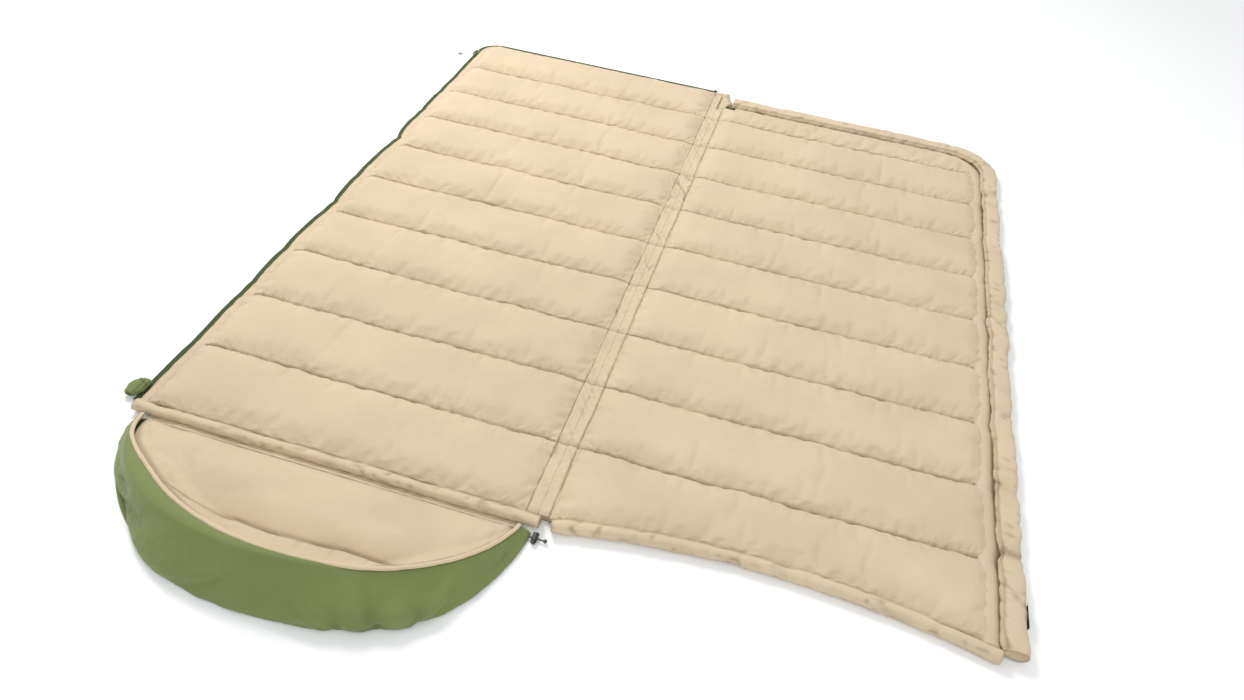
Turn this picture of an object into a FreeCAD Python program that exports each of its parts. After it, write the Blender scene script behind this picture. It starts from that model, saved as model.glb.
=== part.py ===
"""Hooded camp quilt: a rectangular sleeping bag whose long zip is open, laid out flat.

Frame: +X runs across the quilt, from the zipped edge of the under panel to the draft tube of the
over panel, +Y from the hood to the foot, +Z up. X = 0 is the fold between the two panels, Z = 0 is
the ground, and the origin is the middle of the footprint. Lengths are in millimetres.

Bodies that move: the fold band and the over panel close over the under panel, the hood lifts
about the neck seam, the slider runs along the zip with its puller, the closure tab flips over the
end of the zip, and the cord lock of the hood slides on its cord and has a sprung button.
"""

import FreeCAD, Part
import math
import os

import Sketcher

DRIVING = [
    ("neck_y", -790.0, "neck seam, from the middle of the footprint"),
    ("quilt_half", 873.0, "fold line to the outer edge of the quilting"),
    ("quilt_start", 2.0, "neck seam to the first channel"),
    ("channel_pitch", 190.0, "width of one quilted channel"),
    ("channel_count", 10.0, "channels in each panel"),
    ("over_length", 1800.0, "length of the over panel's quilting, drawn in by its draft tube"),
    ("under_corner", 40.0, "corner radius of the under panel's quilting"),
    ("over_corner", 101.5, "corner radius of the over panel's quilting"),
    ("crown", 31.0, "height of a channel at its crown"),
    ("valley", 9.0, "height at a stitched seam"),
    ("valley_flat", 2.0, "flat beside each seam"),
    ("end_taper", 55.0, "length over which a channel's end thins"),
    ("fabric", 1.0, "thickness of a fabric layer"),
    ("thread", 0.8, "thickness of a row of stitching"),
    ("band_half", 24.0, "half the width of the fold band"),
    ("band_top", 8.0, "height of the fold band"),
    ("fold_gap", 1.0, "gap between the fold band and each panel"),
    ("facing", 20.0, "width of the zip facing"),
    ("facing_top", 7.0, "height of the zip facing"),
    ("tape", 10.0, "free width of the zip tape"),
    ("tape_low", 3.2, "underside of the zip tape"),
    ("tape_thick", 0.6, "thickness of the zip tape"),
    ("coil", 3.5, "width of one half of the zip's coil"),
    ("coil_low", 2.0, "underside of the coil"),
    ("coil_top", 5.0, "top of the coil"),
    ("stop_length", 4.0, "length of a zip stop"),
    ("box_length", 10.0, "length of the zip's retainer box"),
    ("box_width", 7.0, "width of the zip's retainer box"),
    ("pin_width", 2.5, "width of the zip's insertion pin"),
    ("collar_radius", 14.0, "radius of the collar tube and the head tube"),
    ("collar_left", -885.0, "closed end of the collar tube"),
    ("collar_right", 10.0, "end of the collar tube at the fold"),
    ("head_tube_rise", 47.0, "how far the head tube bows towards the foot"),
    ("head_tube_start", 34.0, "head tube's end at the fold"),
    ("head_tube_end", 890.0, "head tube's end at the zipped edge"),
    ("draft_low", 5.5, "underside of the draft tube, over the coil"),
    ("draft_height", 26.0, "height of the flattened draft tube"),
    ("draft_width", 44.0, "width of the flattened draft tube"),
    ("draft_offset", 24.0, "edge of the facing to the middle of the draft tube"),
    ("draft_start", -5.0, "head end of the draft tube, from the neck seam"),
    ("draft_stop", 62.0, "foot end of the draft tube, from the fold line"),
    ("filling_gap", 0.3, "slack between a tube's casing and its filling"),
    ("hood_x", -435.0, "middle of the hood"),
    ("hood_half", 432.0, "half the width of the hood on the ground"),
    ("hood_depth", 322.0, "depth of the hood on the ground"),
    ("hood_hinge", 34.0, "neck seam to the line that the hood turns about"),
    ("hood_crown", 25.0, "height of the hood's channels"),
    ("hood_first", 160.0, "width of the hood's first channel"),
    ("hood_lean", 92.0, "how far the hood's wall leans in over its loft height"),
    ("hood_loft", 130.0, "height that the hood's wall is lofted to"),
    ("rim_low", 17.0, "height of the rim at the neck"),
    ("rim_slope", 0.27, "rise of the rim towards the crown of the head"),
    ("wall_thick", 14.0, "thickness of the hood's padded wall"),
    ("piping", 8.0, "height and width of the rim's piping"),
    ("drawcord", 3.0, "thickness of the drawcord"),
    ("slider_y", 1845.0, "middle of the slider, from the neck seam"),
    ("slider_length", 26.0, "length of the zip slider"),
    ("puller_length", 30.0, "pivot to the tip of the puller"),
    ("puller_pivot", 8.3, "height of the puller's pivot"),
    ("tab_length", 52.0, "length of the closure tab along the zip"),
    ("tab_reach", 26.0, "how far the closure tab stands out beyond the coil"),
    ("tab_top", 22.0, "height of the closure tab"),
    ("lock_radius", 6.0, "radius of the cord lock"),
    ("lock_length", 18.0, "length of the cord lock"),
    ("lock_x", 12.0, "middle of the cord lock, from the fold line"),
    ("press", 3.0, "travel of the cord lock's button"),
    ("tail_end", 29.5, "end of the drawcord's tail, from the fold line"),
]
FAR = 6000.0  # longer than the quilt, for cuts that go right through


class Size:
    """A length as a number, and as the sheet formula that gives it."""

    def __init__(self, number, formula):
        self.number = float(number)
        self.formula = formula

    def __add__(self, other):
        other = size(other)
        return Size(self.number + other.number, f"({self.formula} + {other.formula})")

    def __sub__(self, other):
        other = size(other)
        return Size(self.number - other.number, f"({self.formula} - {other.formula})")

    def __mul__(self, other):
        other = size(other)
        return Size(self.number * other.number, f"({self.formula} * {other.formula})")

    def __truediv__(self, other):
        other = size(other)
        return Size(self.number / other.number, f"({self.formula} / {other.formula})")

    def __neg__(self):
        return Size(-self.number, f"(0 - {self.formula})")

    def root(self):
        return Size(math.sqrt(self.number), f"sqrt({self.formula})")


def size(value):
    """Any number as a Size."""
    return value if isinstance(value, Size) else Size(value, f"{float(value):.6f}")


class Sheet:
    """The spreadsheet of driving dimensions; its aliases are read as attributes."""

    def __init__(self, doc):
        self.table = doc.addObject("Spreadsheet::Sheet", "sizes")
        for row, (alias, number, words) in enumerate(DRIVING, start=1):
            self.table.set(f"A{row}", words)
            self.table.set(f"B{row}", str(number))
            self.table.setAlias(f"B{row}", alias)
            setattr(self, alias, Size(number, f"sizes.{alias}"))


doc = FreeCAD.newDocument("camp_quilt")
dim = Sheet(doc)
doc.recompute()
PARTS = []  # the objects that are written, in order


def keep(thing, label):
    """Names an object as one of the quilt's pieces."""
    thing.Label = label
    PARTS.append(thing)
    return thing


def bind(thing, name, value):
    """Sets a property from a Size, and ties it to the sheet."""
    thing.setExpression(name, size(value).formula)


# ---------------------------------------------------------------- sketches and bodies


def new_sketch(body, plane, offset=0):
    """A sketch on one of the body's origin planes, moved along the plane's normal."""
    flat = [f for f in body.Origin.OriginFeatures if f.Role == plane][0]
    sketch = body.newObject("Sketcher::SketchObject", "sketch")
    sketch.AttachmentSupport = [(flat, "")]
    sketch.MapMode = "FlatFace"
    bind(sketch, "AttachmentOffset.Base.z", offset)
    return sketch


def arc_between(start, stop, radius, turn):
    """The shorter arc from start to stop; turn is 1 counter-clockwise and -1 clockwise."""
    chord = stop - start
    left = FreeCAD.Vector(-chord.y, chord.x, 0).normalize()
    rise = math.sqrt(max(radius**2 - (chord.Length / 2) ** 2, 0.0))
    centre = (start + stop) / 2 + left * (rise * turn)
    first, last = (start, stop) if turn > 0 else (stop, start)
    low = math.atan2(first.y - centre.y, first.x - centre.x)
    high = math.atan2(last.y - centre.y, last.x - centre.x)
    if high < low:
        high += 2 * math.pi
    circle = Part.Circle(centre, FreeCAD.Vector(0, 0, 1), radius)
    return Part.ArcOfCircle(circle, low, high)


def draw(sketch, corners, arcs=None, closed=True):
    """Lines, and arcs where arcs[i] = (radius, turn), through corners that are tied to the sheet."""
    arcs = arcs or {}
    corners = [(size(u), size(v)) for u, v in corners]
    points = [FreeCAD.Vector(u.number, v.number, 0) for u, v in corners]
    count = len(points)
    ends = {}
    made = []
    for i in range(count if closed else count - 1):
        start, stop = points[i], points[(i + 1) % count]
        if i in arcs:
            radius, turn = arcs[i]
            edge = sketch.addGeometry(arc_between(start, stop, size(radius).number, turn), False)
            ends[i] = (edge, 1, 2) if turn > 0 else (edge, 2, 1)
        else:
            edge = sketch.addGeometry(Part.LineSegment(start, stop), False)
            ends[i] = (edge, 1, 2)
        made.append(i)
    for i in made:
        after = (i + 1) % count
        if after in ends:
            pair = (ends[i][0], ends[i][2], ends[after][0], ends[after][1])
            sketch.addConstraint(Sketcher.Constraint("Coincident", *pair))
    for i, (u, v) in enumerate(corners):
        edge, place = (ends[i][0], ends[i][1]) if i in ends else (ends[i - 1][0], ends[i - 1][2])
        for kind, value in (("DistanceX", u), ("DistanceY", v)):
            tie = Sketcher.Constraint(kind, -1, 1, edge, place, value.number)
            bind(sketch, f"Constraints[{sketch.addConstraint(tie)}]", value)
    for i, (radius, _) in arcs.items():
        tie = Sketcher.Constraint("Radius", ends[i][0], size(radius).number)
        bind(sketch, f"Constraints[{sketch.addConstraint(tie)}]", radius)
    return sketch


def circle(sketch, u, v, radius):
    """A full circle, tied to the sheet."""
    u, v, radius = size(u), size(v), size(radius)
    centre = FreeCAD.Vector(u.number, v.number, 0)
    edge = sketch.addGeometry(Part.Circle(centre, FreeCAD.Vector(0, 0, 1), radius.number), False)
    for tie, value in (
        (Sketcher.Constraint("DistanceX", -1, 1, edge, 3, u.number), u),
        (Sketcher.Constraint("DistanceY", -1, 1, edge, 3, v.number), v),
        (Sketcher.Constraint("Radius", edge, radius.number), radius),
    ):
        bind(sketch, f"Constraints[{sketch.addConstraint(tie)}]", value)
    return sketch


def rectangle(u_low, u_high, v_low, v_high):
    """The four corners of a rectangle."""
    return [(u_low, v_low), (u_high, v_low), (u_high, v_high), (u_low, v_high)]


def pad(body, sketch, length):
    feature = body.newObject("PartDesign::Pad", "pad")
    feature.Profile = sketch
    feature.Length = size(length).number
    bind(feature, "Length", length)
    return feature


def cut_through(body, sketch):
    """A pocket that goes right through the body, both ways."""
    feature = body.newObject("PartDesign::Pocket", "cut")
    feature.Profile = sketch
    feature.SideType = "Symmetric"
    feature.Length = FAR
    return feature


def new_body(label):
    return doc.addObject("PartDesign::Body", label)


def plate(label, corners, low, high, arcs=None):
    """A flat piece: an outline in plan, from height low to height high."""
    body = new_body(label)
    pad(body, draw(new_sketch(body, "XY_Plane", low), corners, arcs), size(high) - low)
    return body


def block(label, x, y, z):
    """A plain box between two corners, as pairs (low, high)."""
    box = doc.addObject("Part::Box", label)
    for side, place, (low, high) in zip(("Length", "Width", "Height"), "xyz", (x, y, z)):
        low, high = size(low), size(high)
        bind(box, side, high - low)
        bind(box, f"Placement.Base.{place}", low)
    return box


def difference(label, base, tool):
    cut = doc.addObject("Part::Cut", label)
    cut.Base, cut.Tool = base, tool
    return cut


def common(label, base, tool):
    shared = doc.addObject("Part::Common", label)
    shared.Base, shared.Tool = base, tool
    return shared


def union(label, *shapes):
    fused = doc.addObject("Part::MultiFuse", label)
    fused.Shapes = list(shapes)
    return fused


def group(label, shapes):
    """Identical separate solids as one piece of the list."""
    together = doc.addObject("Part::Compound", label)
    together.Links = list(shapes)
    return together


def rod(label, radius, start, direction, length):
    """A cylinder from a point along a direction."""
    bar = doc.addObject("Part::Cylinder", label)
    bind(bar, "Radius", radius)
    bind(bar, "Height", length)
    turn = FreeCAD.Rotation(FreeCAD.Vector(0, 0, 1), FreeCAD.Vector(*direction))
    bar.Placement = FreeCAD.Placement(FreeCAD.Vector(), turn)
    for place, value in zip("xyz", start):
        bind(bar, f"Placement.Base.{place}", value)
    return bar


def tube_ring(sketch, middle, height, width, tall):
    """A tube's outline in its sketch: round, or with flats between its two rounded sides."""
    bend = tall / 2
    if width.number == tall.number:
        return circle(sketch, middle, height, bend)
    left, right = middle - width / 2, middle + width / 2
    low, high = height - bend, height + bend
    corners = [
        (left + bend, low),
        (right - bend, low),
        (right, height),
        (right - bend, high),
        (left + bend, high),
        (left, height),
    ]
    return draw(sketch, corners, {side: (bend, 1) for side in (1, 2, 4, 5)})


def tube(label, route, arcs, height, width, tall, wall=None):
    """A tube along a level route in plan, hollow if it has a wall."""
    body = new_body(label)
    path = draw(new_sketch(body, "XY_Plane", height), route, arcs, closed=False)
    start, after = route[0], route[1]
    along_x = size(start[1]).number == size(after[1]).number
    if along_x:
        section = new_sketch(body, "YZ_Plane", start[0])
        middle = start[1]
    else:
        section = new_sketch(body, "XZ_Plane", -size(start[1]))
        middle = start[0]
    tube_ring(section, middle, height, width, tall)
    if wall is not None:
        tube_ring(section, middle, height, width - wall * 2, tall - wall * 2)
    doc.recompute()
    sweep = body.newObject("PartDesign::AdditivePipe", "sweep")
    sweep.Profile = section
    sweep.Spine = (path, [])
    return body


# ---------------------------------------------------------------- places

PANEL_START = dim.neck_y + dim.quilt_start
UNDER_FOOT = PANEL_START + dim.channel_pitch * dim.channel_count
OVER_FOOT = PANEL_START + dim.over_length
FOLD_EDGE = dim.band_half + dim.fold_gap
COIL_MIDDLE = -(dim.quilt_half + dim.facing + dim.tape + dim.coil / 2)
PANELS = {
    "under": {"side": -1, "foot": UNDER_FOOT, "corner": dim.under_corner},
    "over": {"side": 1, "foot": OVER_FOOT, "corner": dim.over_corner},
}


def edge_at(name, offset):
    """Outer edge, foot edge and corner radius of a panel, at an offset out of its quilting."""
    panel = PANELS[name]
    outer = (dim.quilt_half + offset) * panel["side"]
    return outer, panel["foot"] + offset, panel["corner"] + offset


def bow_radius():
    """Radius of the arc that the head tube follows, from its span and its rise."""
    half = (dim.head_tube_end - dim.head_tube_start) / 2
    return (half * half + dim.head_tube_rise * dim.head_tube_rise) / (dim.head_tube_rise * 2)


BOW_RADIUS = bow_radius()
BOW_X = (dim.head_tube_start + dim.head_tube_end) / 2
BOW_Y = dim.neck_y - dim.collar_radius + dim.head_tube_rise - BOW_RADIUS


def head_edge(x, inset):
    """The over panel's head edge at a place along X, just clear of the head tube."""
    clear = 0.6
    radius = BOW_RADIUS + dim.collar_radius + clear + inset
    from_middle = x - BOW_X
    return BOW_Y + (radius * radius - from_middle * from_middle).root(), radius


def panel_outline(name, inset):
    """The quilting's outline in plan, drawn in by an inset."""
    side = PANELS[name]["side"]
    outer, foot, corner = edge_at(name, -size(inset))
    fold = (FOLD_EDGE + inset) * side
    start = fold_start = PANEL_START + inset
    arcs = {2: (corner, -side)}
    if name == "over":
        start, radius = head_edge(outer, inset)
        fold_start, radius = head_edge(fold, inset)
        arcs[4] = (radius, 1)
    corners = [
        (fold, fold_start),
        (fold, foot),
        (outer - corner * side, foot),
        (outer, foot - corner),
        (outer, start),
    ]
    return corners, arcs


def strip_outline(name, inner, outer, start, stop):
    """Outline in plan of an L-shaped strip along a panel's zipped edge and its foot."""
    side = PANELS[name]["side"]
    x_out, y_out, r_out = edge_at(name, outer)
    x_in, y_in, r_in = edge_at(name, inner)
    end = size(stop) * side
    corners = [
        (x_out, start),
        (x_out, y_out - r_out),
        (x_out - r_out * side, y_out),
        (end, y_out),
        (end, y_in),
        (x_in - r_in * side, y_in),
        (x_in, y_in - r_in),
        (x_in, start),
    ]
    return corners, {1: (r_out, side), 5: (r_in, -side)}


def edge_strip(name, label, inner, outer, z, start=PANEL_START, stop=FOLD_EDGE):
    """A piece of the zip edge, between two offsets out of the quilting and two heights."""
    corners, arcs = strip_outline(name, inner, outer, start, stop)
    return keep(plate(label, corners, z[0], z[1], arcs), label)


# ---------------------------------------------------------------- quilted panels


def channel_radius(crown, valley, width):
    """Radius of the arc over a channel, from its rise and its width."""
    rise = crown - valley
    half = width / 2
    return (half * half + rise * rise) / (rise * 2)


def quilt_form(name, label, inset):
    """A panel's padded shape: scalloped channels, thinner at both ends, trimmed to its outline."""
    side = PANELS[name]["side"]
    low = dim.fabric
    crown, valley = dim.crown - inset, dim.valley - inset
    flat = dim.valley_flat
    span = dim.channel_pitch - flat * 2
    start = PANEL_START
    left, right = (-dim.quilt_half, -FOLD_EDGE) if side < 0 else (FOLD_EDGE, dim.quilt_half)
    body = new_body(label)
    section = [
        (start, low),
        (start + dim.channel_pitch, low),
        (start + dim.channel_pitch, valley),
        (start + dim.channel_pitch - flat, valley),
        (start + flat, valley),
        (start, valley),
    ]
    arcs = {3: (channel_radius(crown, valley, span), 1)}
    channel = pad(body, draw(new_sketch(body, "YZ_Plane", left), section, arcs), right - left)
    doc.recompute()
    rows = body.newObject("PartDesign::LinearPattern", "channels")
    rows.Originals = [channel]
    rows.Direction = (body.Origin.OriginFeatures[1], [""])
    bind(rows, "Length", dim.channel_pitch * (dim.channel_count - 1))
    bind(rows, "Occurrences", dim.channel_count)
    body.Tip = rows
    doc.recompute()
    ends = new_sketch(body, "XZ_Plane")
    beyond = 5
    above = crown + beyond * 2
    for edge, inward in ((left, 1), (right, -1)):
        draw(
            ends,
            [
                (edge - beyond * inward, valley),
                (edge + inset * inward, valley),
                (edge + dim.end_taper * inward, crown),
                (edge + dim.end_taper * inward, above),
                (edge - beyond * inward, above),
            ],
        )
    cut_through(body, ends)
    doc.recompute()
    foot = PANELS[name]["foot"]
    foot_end = new_sketch(body, "YZ_Plane")
    draw(
        foot_end,
        [
            (foot + beyond, valley),
            (foot + beyond, above),
            (foot - dim.end_taper, above),
            (foot - dim.end_taper, crown),
            (foot - inset, valley),
        ],
    )
    cut_through(body, foot_end)
    doc.recompute()
    outline = new_sketch(body, "XY_Plane")
    draw(outline, rectangle(-FAR / 3, FAR / 3, -FAR / 3, FAR / 3))
    corners, arcs = panel_outline(name, inset)
    draw(outline, corners, arcs)
    cut_through(body, outline)
    return body


def seam_rows(name, label):
    """The rows of stitching that close the channels, as flat threads in the seam valleys."""
    side = PANELS[name]["side"]
    near = (FOLD_EDGE + dim.end_taper) * side
    far = (dim.quilt_half - dim.end_taper) * side
    low, high = (far, near) if side < 0 else (near, far)
    rows = []
    last = int(dim.channel_count.number)
    for row in range(1, last):
        middle = PANEL_START + dim.channel_pitch * row
        y = (middle - dim.thread / 2, middle + dim.thread / 2)
        z = (dim.valley, dim.valley + dim.thread)
        rows.append(block("seam", (low, high), y, z))
    return keep(group(label, rows), label)


def quilted_panel(name):
    """Outer shell, wadding, lining and stitching of one panel."""
    corners, arcs = panel_outline(name, 0)
    shell = plate(f"{name}_outer_shell", corners, 0, dim.fabric, arcs)
    keep(shell, f"{name}_outer_shell")
    wadding = keep(quilt_form(name, f"{name}_wadding", dim.fabric), f"{name}_wadding")
    whole = quilt_form(name, f"{name}_form", size(0))
    keep(difference(f"{name}_lining", whole, wadding), f"{name}_lining")
    seam_rows(name, f"{name}_quilting_thread")


def fold_band():
    """The unpadded strip between the panels, which stands up as the side wall when they fold."""
    x = (-dim.band_half, dim.band_half)
    y = (PANEL_START, UNDER_FOOT + dim.facing)
    layers = (
        ("fold_outer_strip", 0, dim.fabric),
        ("fold_wadding_strip", dim.fabric, dim.band_top - dim.fabric),
        ("fold_lining_strip", dim.band_top - dim.fabric, dim.band_top),
    )
    for label, low, high in layers:
        keep(block(label, x, y, (low, high)), label)


# ---------------------------------------------------------------- zip


def zip_half(name):
    """Facing, tape and coil of one half of the zip, and the stop at its head end."""
    side = PANELS[name]["side"]
    coil_in = dim.facing + dim.tape
    coil_out = coil_in + dim.coil
    coil_z = (dim.coil_low, dim.coil_top)
    tape_z = (dim.tape_low, dim.tape_low + dim.tape_thick)
    stop_end = PANEL_START + dim.stop_length
    coil_foot = FOLD_EDGE + dim.box_length + dim.fold_gap
    edge_strip(name, f"{name}_zip_facing", size(0), dim.facing, (size(0), dim.facing_top))
    edge_strip(name, f"{name}_zip_tape", dim.facing, coil_in, tape_z)
    edge_strip(name, f"{name}_zip_coil", coil_in, coil_out, coil_z, stop_end, coil_foot)
    x = [(dim.quilt_half + offset) * side for offset in (coil_in, coil_out)]
    x = (x[0], x[1]) if side > 0 else (x[1], x[0])
    stop = block(f"{name}_zip_top_stop", x, (PANEL_START, stop_end), coil_z)
    keep(stop, f"{name}_zip_top_stop")


def zip_ends():
    """Retainer box and insertion pin, which start the zip at the foot of the fold."""
    start, stop = FOLD_EDGE, FOLD_EDGE + dim.box_length
    lip = 0.5
    z = (dim.coil_low - lip, dim.coil_top + lip)
    under = UNDER_FOOT + dim.facing + dim.tape
    over = OVER_FOOT + dim.facing + dim.tape
    box = block("zip_retainer_box", (-stop, -start), (under, under + dim.box_width), z)
    pin_y = (over, over + dim.pin_width)
    pin = block("zip_insertion_pin", (start, stop), pin_y, (dim.coil_low, dim.coil_top))
    keep(box, "zip_retainer_box")
    keep(pin, "zip_insertion_pin")


def slider_bridge(y):
    """The arched loop on top of the slider that the puller hangs on."""
    foot, under, crown = 6.6, 6.9, 10.6
    outer_half, inner_half = 7, 4
    crown_radius = 9
    width = 3.5
    bridge = new_body("bridge")
    sketch = new_sketch(bridge, "YZ_Plane", COIL_MIDDLE - width / 2)
    outline = rectangle(y - outer_half, y + outer_half, foot, crown)
    draw(sketch, outline, {2: (crown_radius, 1)})
    draw(sketch, rectangle(y - inner_half, y + inner_half, under, crown - 1))
    pad(bridge, sketch, width)
    return bridge


def zip_slider():
    """Slider body: two wings joined by a divider, with lips over the tape and a puller bridge."""
    y = dim.neck_y + dim.slider_y
    half = dim.slider_length / 2
    outer, inner = COIL_MIDDLE - 9, COIL_MIDDLE + 7.5
    reach = (y - half, y + half)
    lower_wing, upper_wing = (0.3, 1.7), (5.3, 6.7)
    lower_lip, upper_lip = (1.6, 2.6), (4.4, 5.4)
    lip = 1.5
    divider = (outer + 2, outer + 6)
    wings = [
        block("lower_wing", (outer, inner), reach, lower_wing),
        block("upper_wing", (outer, inner), reach, upper_wing),
        block("divider", divider, (y + 1, y + half), (lower_lip[0], upper_lip[1])),
    ]
    for x in ((inner - lip, inner), (outer, outer + lip)):
        for z in (lower_lip, upper_lip):
            wings.append(block("lip", x, reach, z))
    keep(union("slider_body", slider_bridge(y), *wings), "slider_body")
    return y


def zip_puller(y):
    """Puller that hangs on the slider's bridge by a cross pin, and the eye for its cord."""
    half, arm = 4.2, 1.6
    low, thick = 7.5, 1.6
    pin_radius, pin_half = 0.8, 4.0
    arm_end, leaf_end = y - 11, y - 9.5
    eye_radius, tip_radius = 1.6, 6
    tip = y - dim.puller_length
    eye_y = tip + 4.5
    arms = [
        block("arm", (COIL_MIDDLE + side, COIL_MIDDLE + side + arm), (arm_end, y + 1), (low, low + thick))
        for side in (-half, half - arm)
    ]
    pin_start = (COIL_MIDDLE - pin_half, y, dim.puller_pivot)
    pin = rod("cross_pin", pin_radius, pin_start, (1, 0, 0), pin_half * 2)
    leaf = new_body("leaf")
    sketch = new_sketch(leaf, "XY_Plane", low)
    outline = rectangle(COIL_MIDDLE - half, COIL_MIDDLE + half, tip, leaf_end)
    draw(sketch, outline, {0: (tip_radius, 1)})
    circle(sketch, COIL_MIDDLE, eye_y, eye_radius)
    pad(leaf, sketch, thick)
    keep(union("puller_tab", leaf, pin, *arms), "puller_tab")
    return eye_y


def pull_cord(eye_y):
    """Cord tied at the puller's eye, run out over the zip's edge to a moulded grip."""
    knot = FreeCAD.Vector(COIL_MIDDLE.number - 4.5, eye_y.number, 8.1)
    route = [
        knot,
        knot + FreeCAD.Vector(-8, 0.4, -0.5),
        knot + FreeCAD.Vector(-17, -1.4, -3.1),
        knot + FreeCAD.Vector(-27, -4.4, -4.5),
        knot + FreeCAD.Vector(-36, -6.2, -4.5),
    ]
    radius = 1.25
    cord, length = rounded_pipe("pull_cord", route, radius)
    keep(cord, "pull_cord")
    ratio = cord.Shape.Volume / (math.pi * radius**2 * length)
    print(f"pull cord: {length:.1f} mm long, volume over section times length {ratio:.4f}")
    along = (route[-1] - route[-2]).normalize()
    neck_radius, grip_radius = 2.2, 3.4
    taper, barrel_length = 7, 9
    cone = Part.makeCone(neck_radius, grip_radius, taper, route[-1], along)
    barrel = Part.makeCylinder(grip_radius, barrel_length, route[-1] + along * taper, along)
    grip = doc.addObject("Part::Feature", "pull_cord_grip")
    grip.Shape = cone.fuse(barrel).removeSplitter()
    keep(grip, "pull_cord_grip")


def rounded_pipe(label, route, radius):
    """A round cord along straight runs joined by tangent arcs, as large as the runs allow."""
    edges = []
    start = route[0]
    share = 0.45  # of the shorter run, taken up by each arc
    for before, corner, after in zip(route, route[1:], route[2:]):
        into = corner - before
        away = after - corner
        angle = into.getAngle(away)
        bend = share * min(into.Length, away.Length) / math.tan(angle / 2)
        reach = bend * math.tan(angle / 2)
        first = corner - into.normalize() * reach
        last = corner + away.normalize() * reach
        inward = ((first + last) / 2 - corner).normalize()
        middle = corner + inward * (bend / math.cos(angle / 2) - bend)
        edges.append(Part.LineSegment(start, first).toShape())
        edges.append(Part.Arc(first, middle, last).toShape())
        start = last
    edges.append(Part.LineSegment(start, route[-1]).toShape())
    path = Part.Wire(edges)
    ring = Part.Wire(Part.makeCircle(radius, route[0], route[1] - route[0]))
    pipe = doc.addObject("Part::Feature", label)
    pipe.Shape = path.makePipeShell([ring], True, True)
    return pipe, path.Length


# ---------------------------------------------------------------- draft tubes


def stuffed_tube(label, route, arcs, low, width, tall, allowance):
    """A fabric casing with its seam allowance, and the filling inside it, on one level route."""
    inset = dim.fabric + dim.filling_gap
    height = low + tall / 2
    casing = tube(f"{label}_ring", route, arcs, height, width, tall, dim.fabric)
    filling = tube(f"{label}_filling", route, arcs, height, width - inset * 2, tall - inset * 2)
    keep(union(f"{label}_casing", casing, allowance), f"{label}_casing")
    keep(filling, f"{label}_filling")


def collar_tube():
    """The tube along the neck, sewn to the head end of the under panel."""
    width = dim.collar_radius * 2
    collar_y = dim.neck_y - dim.collar_radius
    x = (-dim.quilt_half, -FOLD_EDGE)
    overlap, low = 4, size(4)
    seam = block("collar_seam", x, (dim.neck_y - overlap, PANEL_START), (low, low + dim.fabric))
    route = [(dim.collar_left, collar_y), (dim.collar_right, collar_y)]
    stuffed_tube("collar_tube", route, {}, size(0), width, width, seam)


def draft_tube():
    """The flattened tube round the zipped edge of the over panel, sewn to the zip facing."""
    x, y, corner = edge_at("over", dim.facing + dim.draft_offset)
    route = [
        (x, dim.neck_y + dim.draft_start),
        (x, y - corner),
        (x - corner, y),
        (dim.draft_stop, y),
    ]
    lap, root = 8, 6.6
    inner = dim.facing - lap
    outer = dim.facing + dim.draft_offset - dim.draft_width / 2 + root
    sewn = dim.facing_top
    corners, arcs = strip_outline("over", inner, outer, PANEL_START + lap, dim.draft_stop + 2)
    seam = plate("draft_seam", corners, sewn, sewn + dim.fabric, arcs)
    bend = {1: (corner, 1)}
    width, tall = dim.draft_width, dim.draft_height
    stuffed_tube("draft_tube", route, bend, dim.draft_low, width, tall, seam)


def head_tube():
    """The tube along the over panel's head edge, a shallow arc made by revolution."""
    half = (dim.head_tube_end - dim.head_tube_start) / 2
    angle = 2 * math.degrees(math.asin(half.number / BOW_RADIUS.number))
    bore = dim.collar_radius - dim.fabric
    rings = (
        ("head_tube_casing", dim.collar_radius, bore),
        ("head_tube_filling", bore - dim.filling_gap, None),
    )
    for label, radius, hollow in rings:
        body = new_body(label)
        section = new_sketch(body, "YZ_Plane")
        circle(section, BOW_RADIUS, dim.collar_radius, radius)
        if hollow is not None:
            circle(section, BOW_RADIUS, dim.collar_radius, hollow)
        doc.recompute()
        turned = body.newObject("PartDesign::Revolution", "bow")
        turned.Profile = section
        turned.ReferenceAxis = (section, ["V_Axis"])
        turned.Midplane = True
        turned.Angle = angle
        bind(body, "Placement.Base.x", BOW_X)
        bind(body, "Placement.Base.y", BOW_Y)
        keep(body, label)


# ---------------------------------------------------------------- hood


def cone_form(label, inset):
    """The hood's shape: an ellipse on the ground lofted to a smaller one above it."""
    rings = []
    for height, lean in ((size(0), size(0)), (dim.hood_loft, dim.hood_lean)):
        ring = doc.addObject("Part::Ellipse", "ring")
        bind(ring, "MajorRadius", dim.hood_half - lean - inset)
        bind(ring, "MinorRadius", dim.hood_depth - lean - inset)
        bind(ring, "Placement.Base.x", dim.hood_x)
        bind(ring, "Placement.Base.y", dim.neck_y - dim.hood_hinge)
        bind(ring, "Placement.Base.z", height)
        rings.append(ring)
    loft = doc.addObject("Part::Loft", label)
    loft.Sections = rings
    loft.Solid = True
    loft.Ruled = True
    return loft


def side_prism(label, corners, arcs=None):
    """A prism across the whole hood, from an outline seen from the side."""
    body = new_body(label)
    half = dim.hood_half + 20
    sketch = draw(new_sketch(body, "YZ_Plane", dim.hood_x - half), corners, arcs)
    pad(body, sketch, half * 2)
    return body


HOOD_START = dim.neck_y - dim.hood_hinge - 1
HOOD_BACK = HOOD_START - dim.hood_depth - 20
TAIL_Y = HOOD_START - 12


def rim_height(y):
    """Height of the wall's sloping top at a place along Y."""
    return dim.rim_low + (HOOD_START - y) * dim.rim_slope


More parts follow.
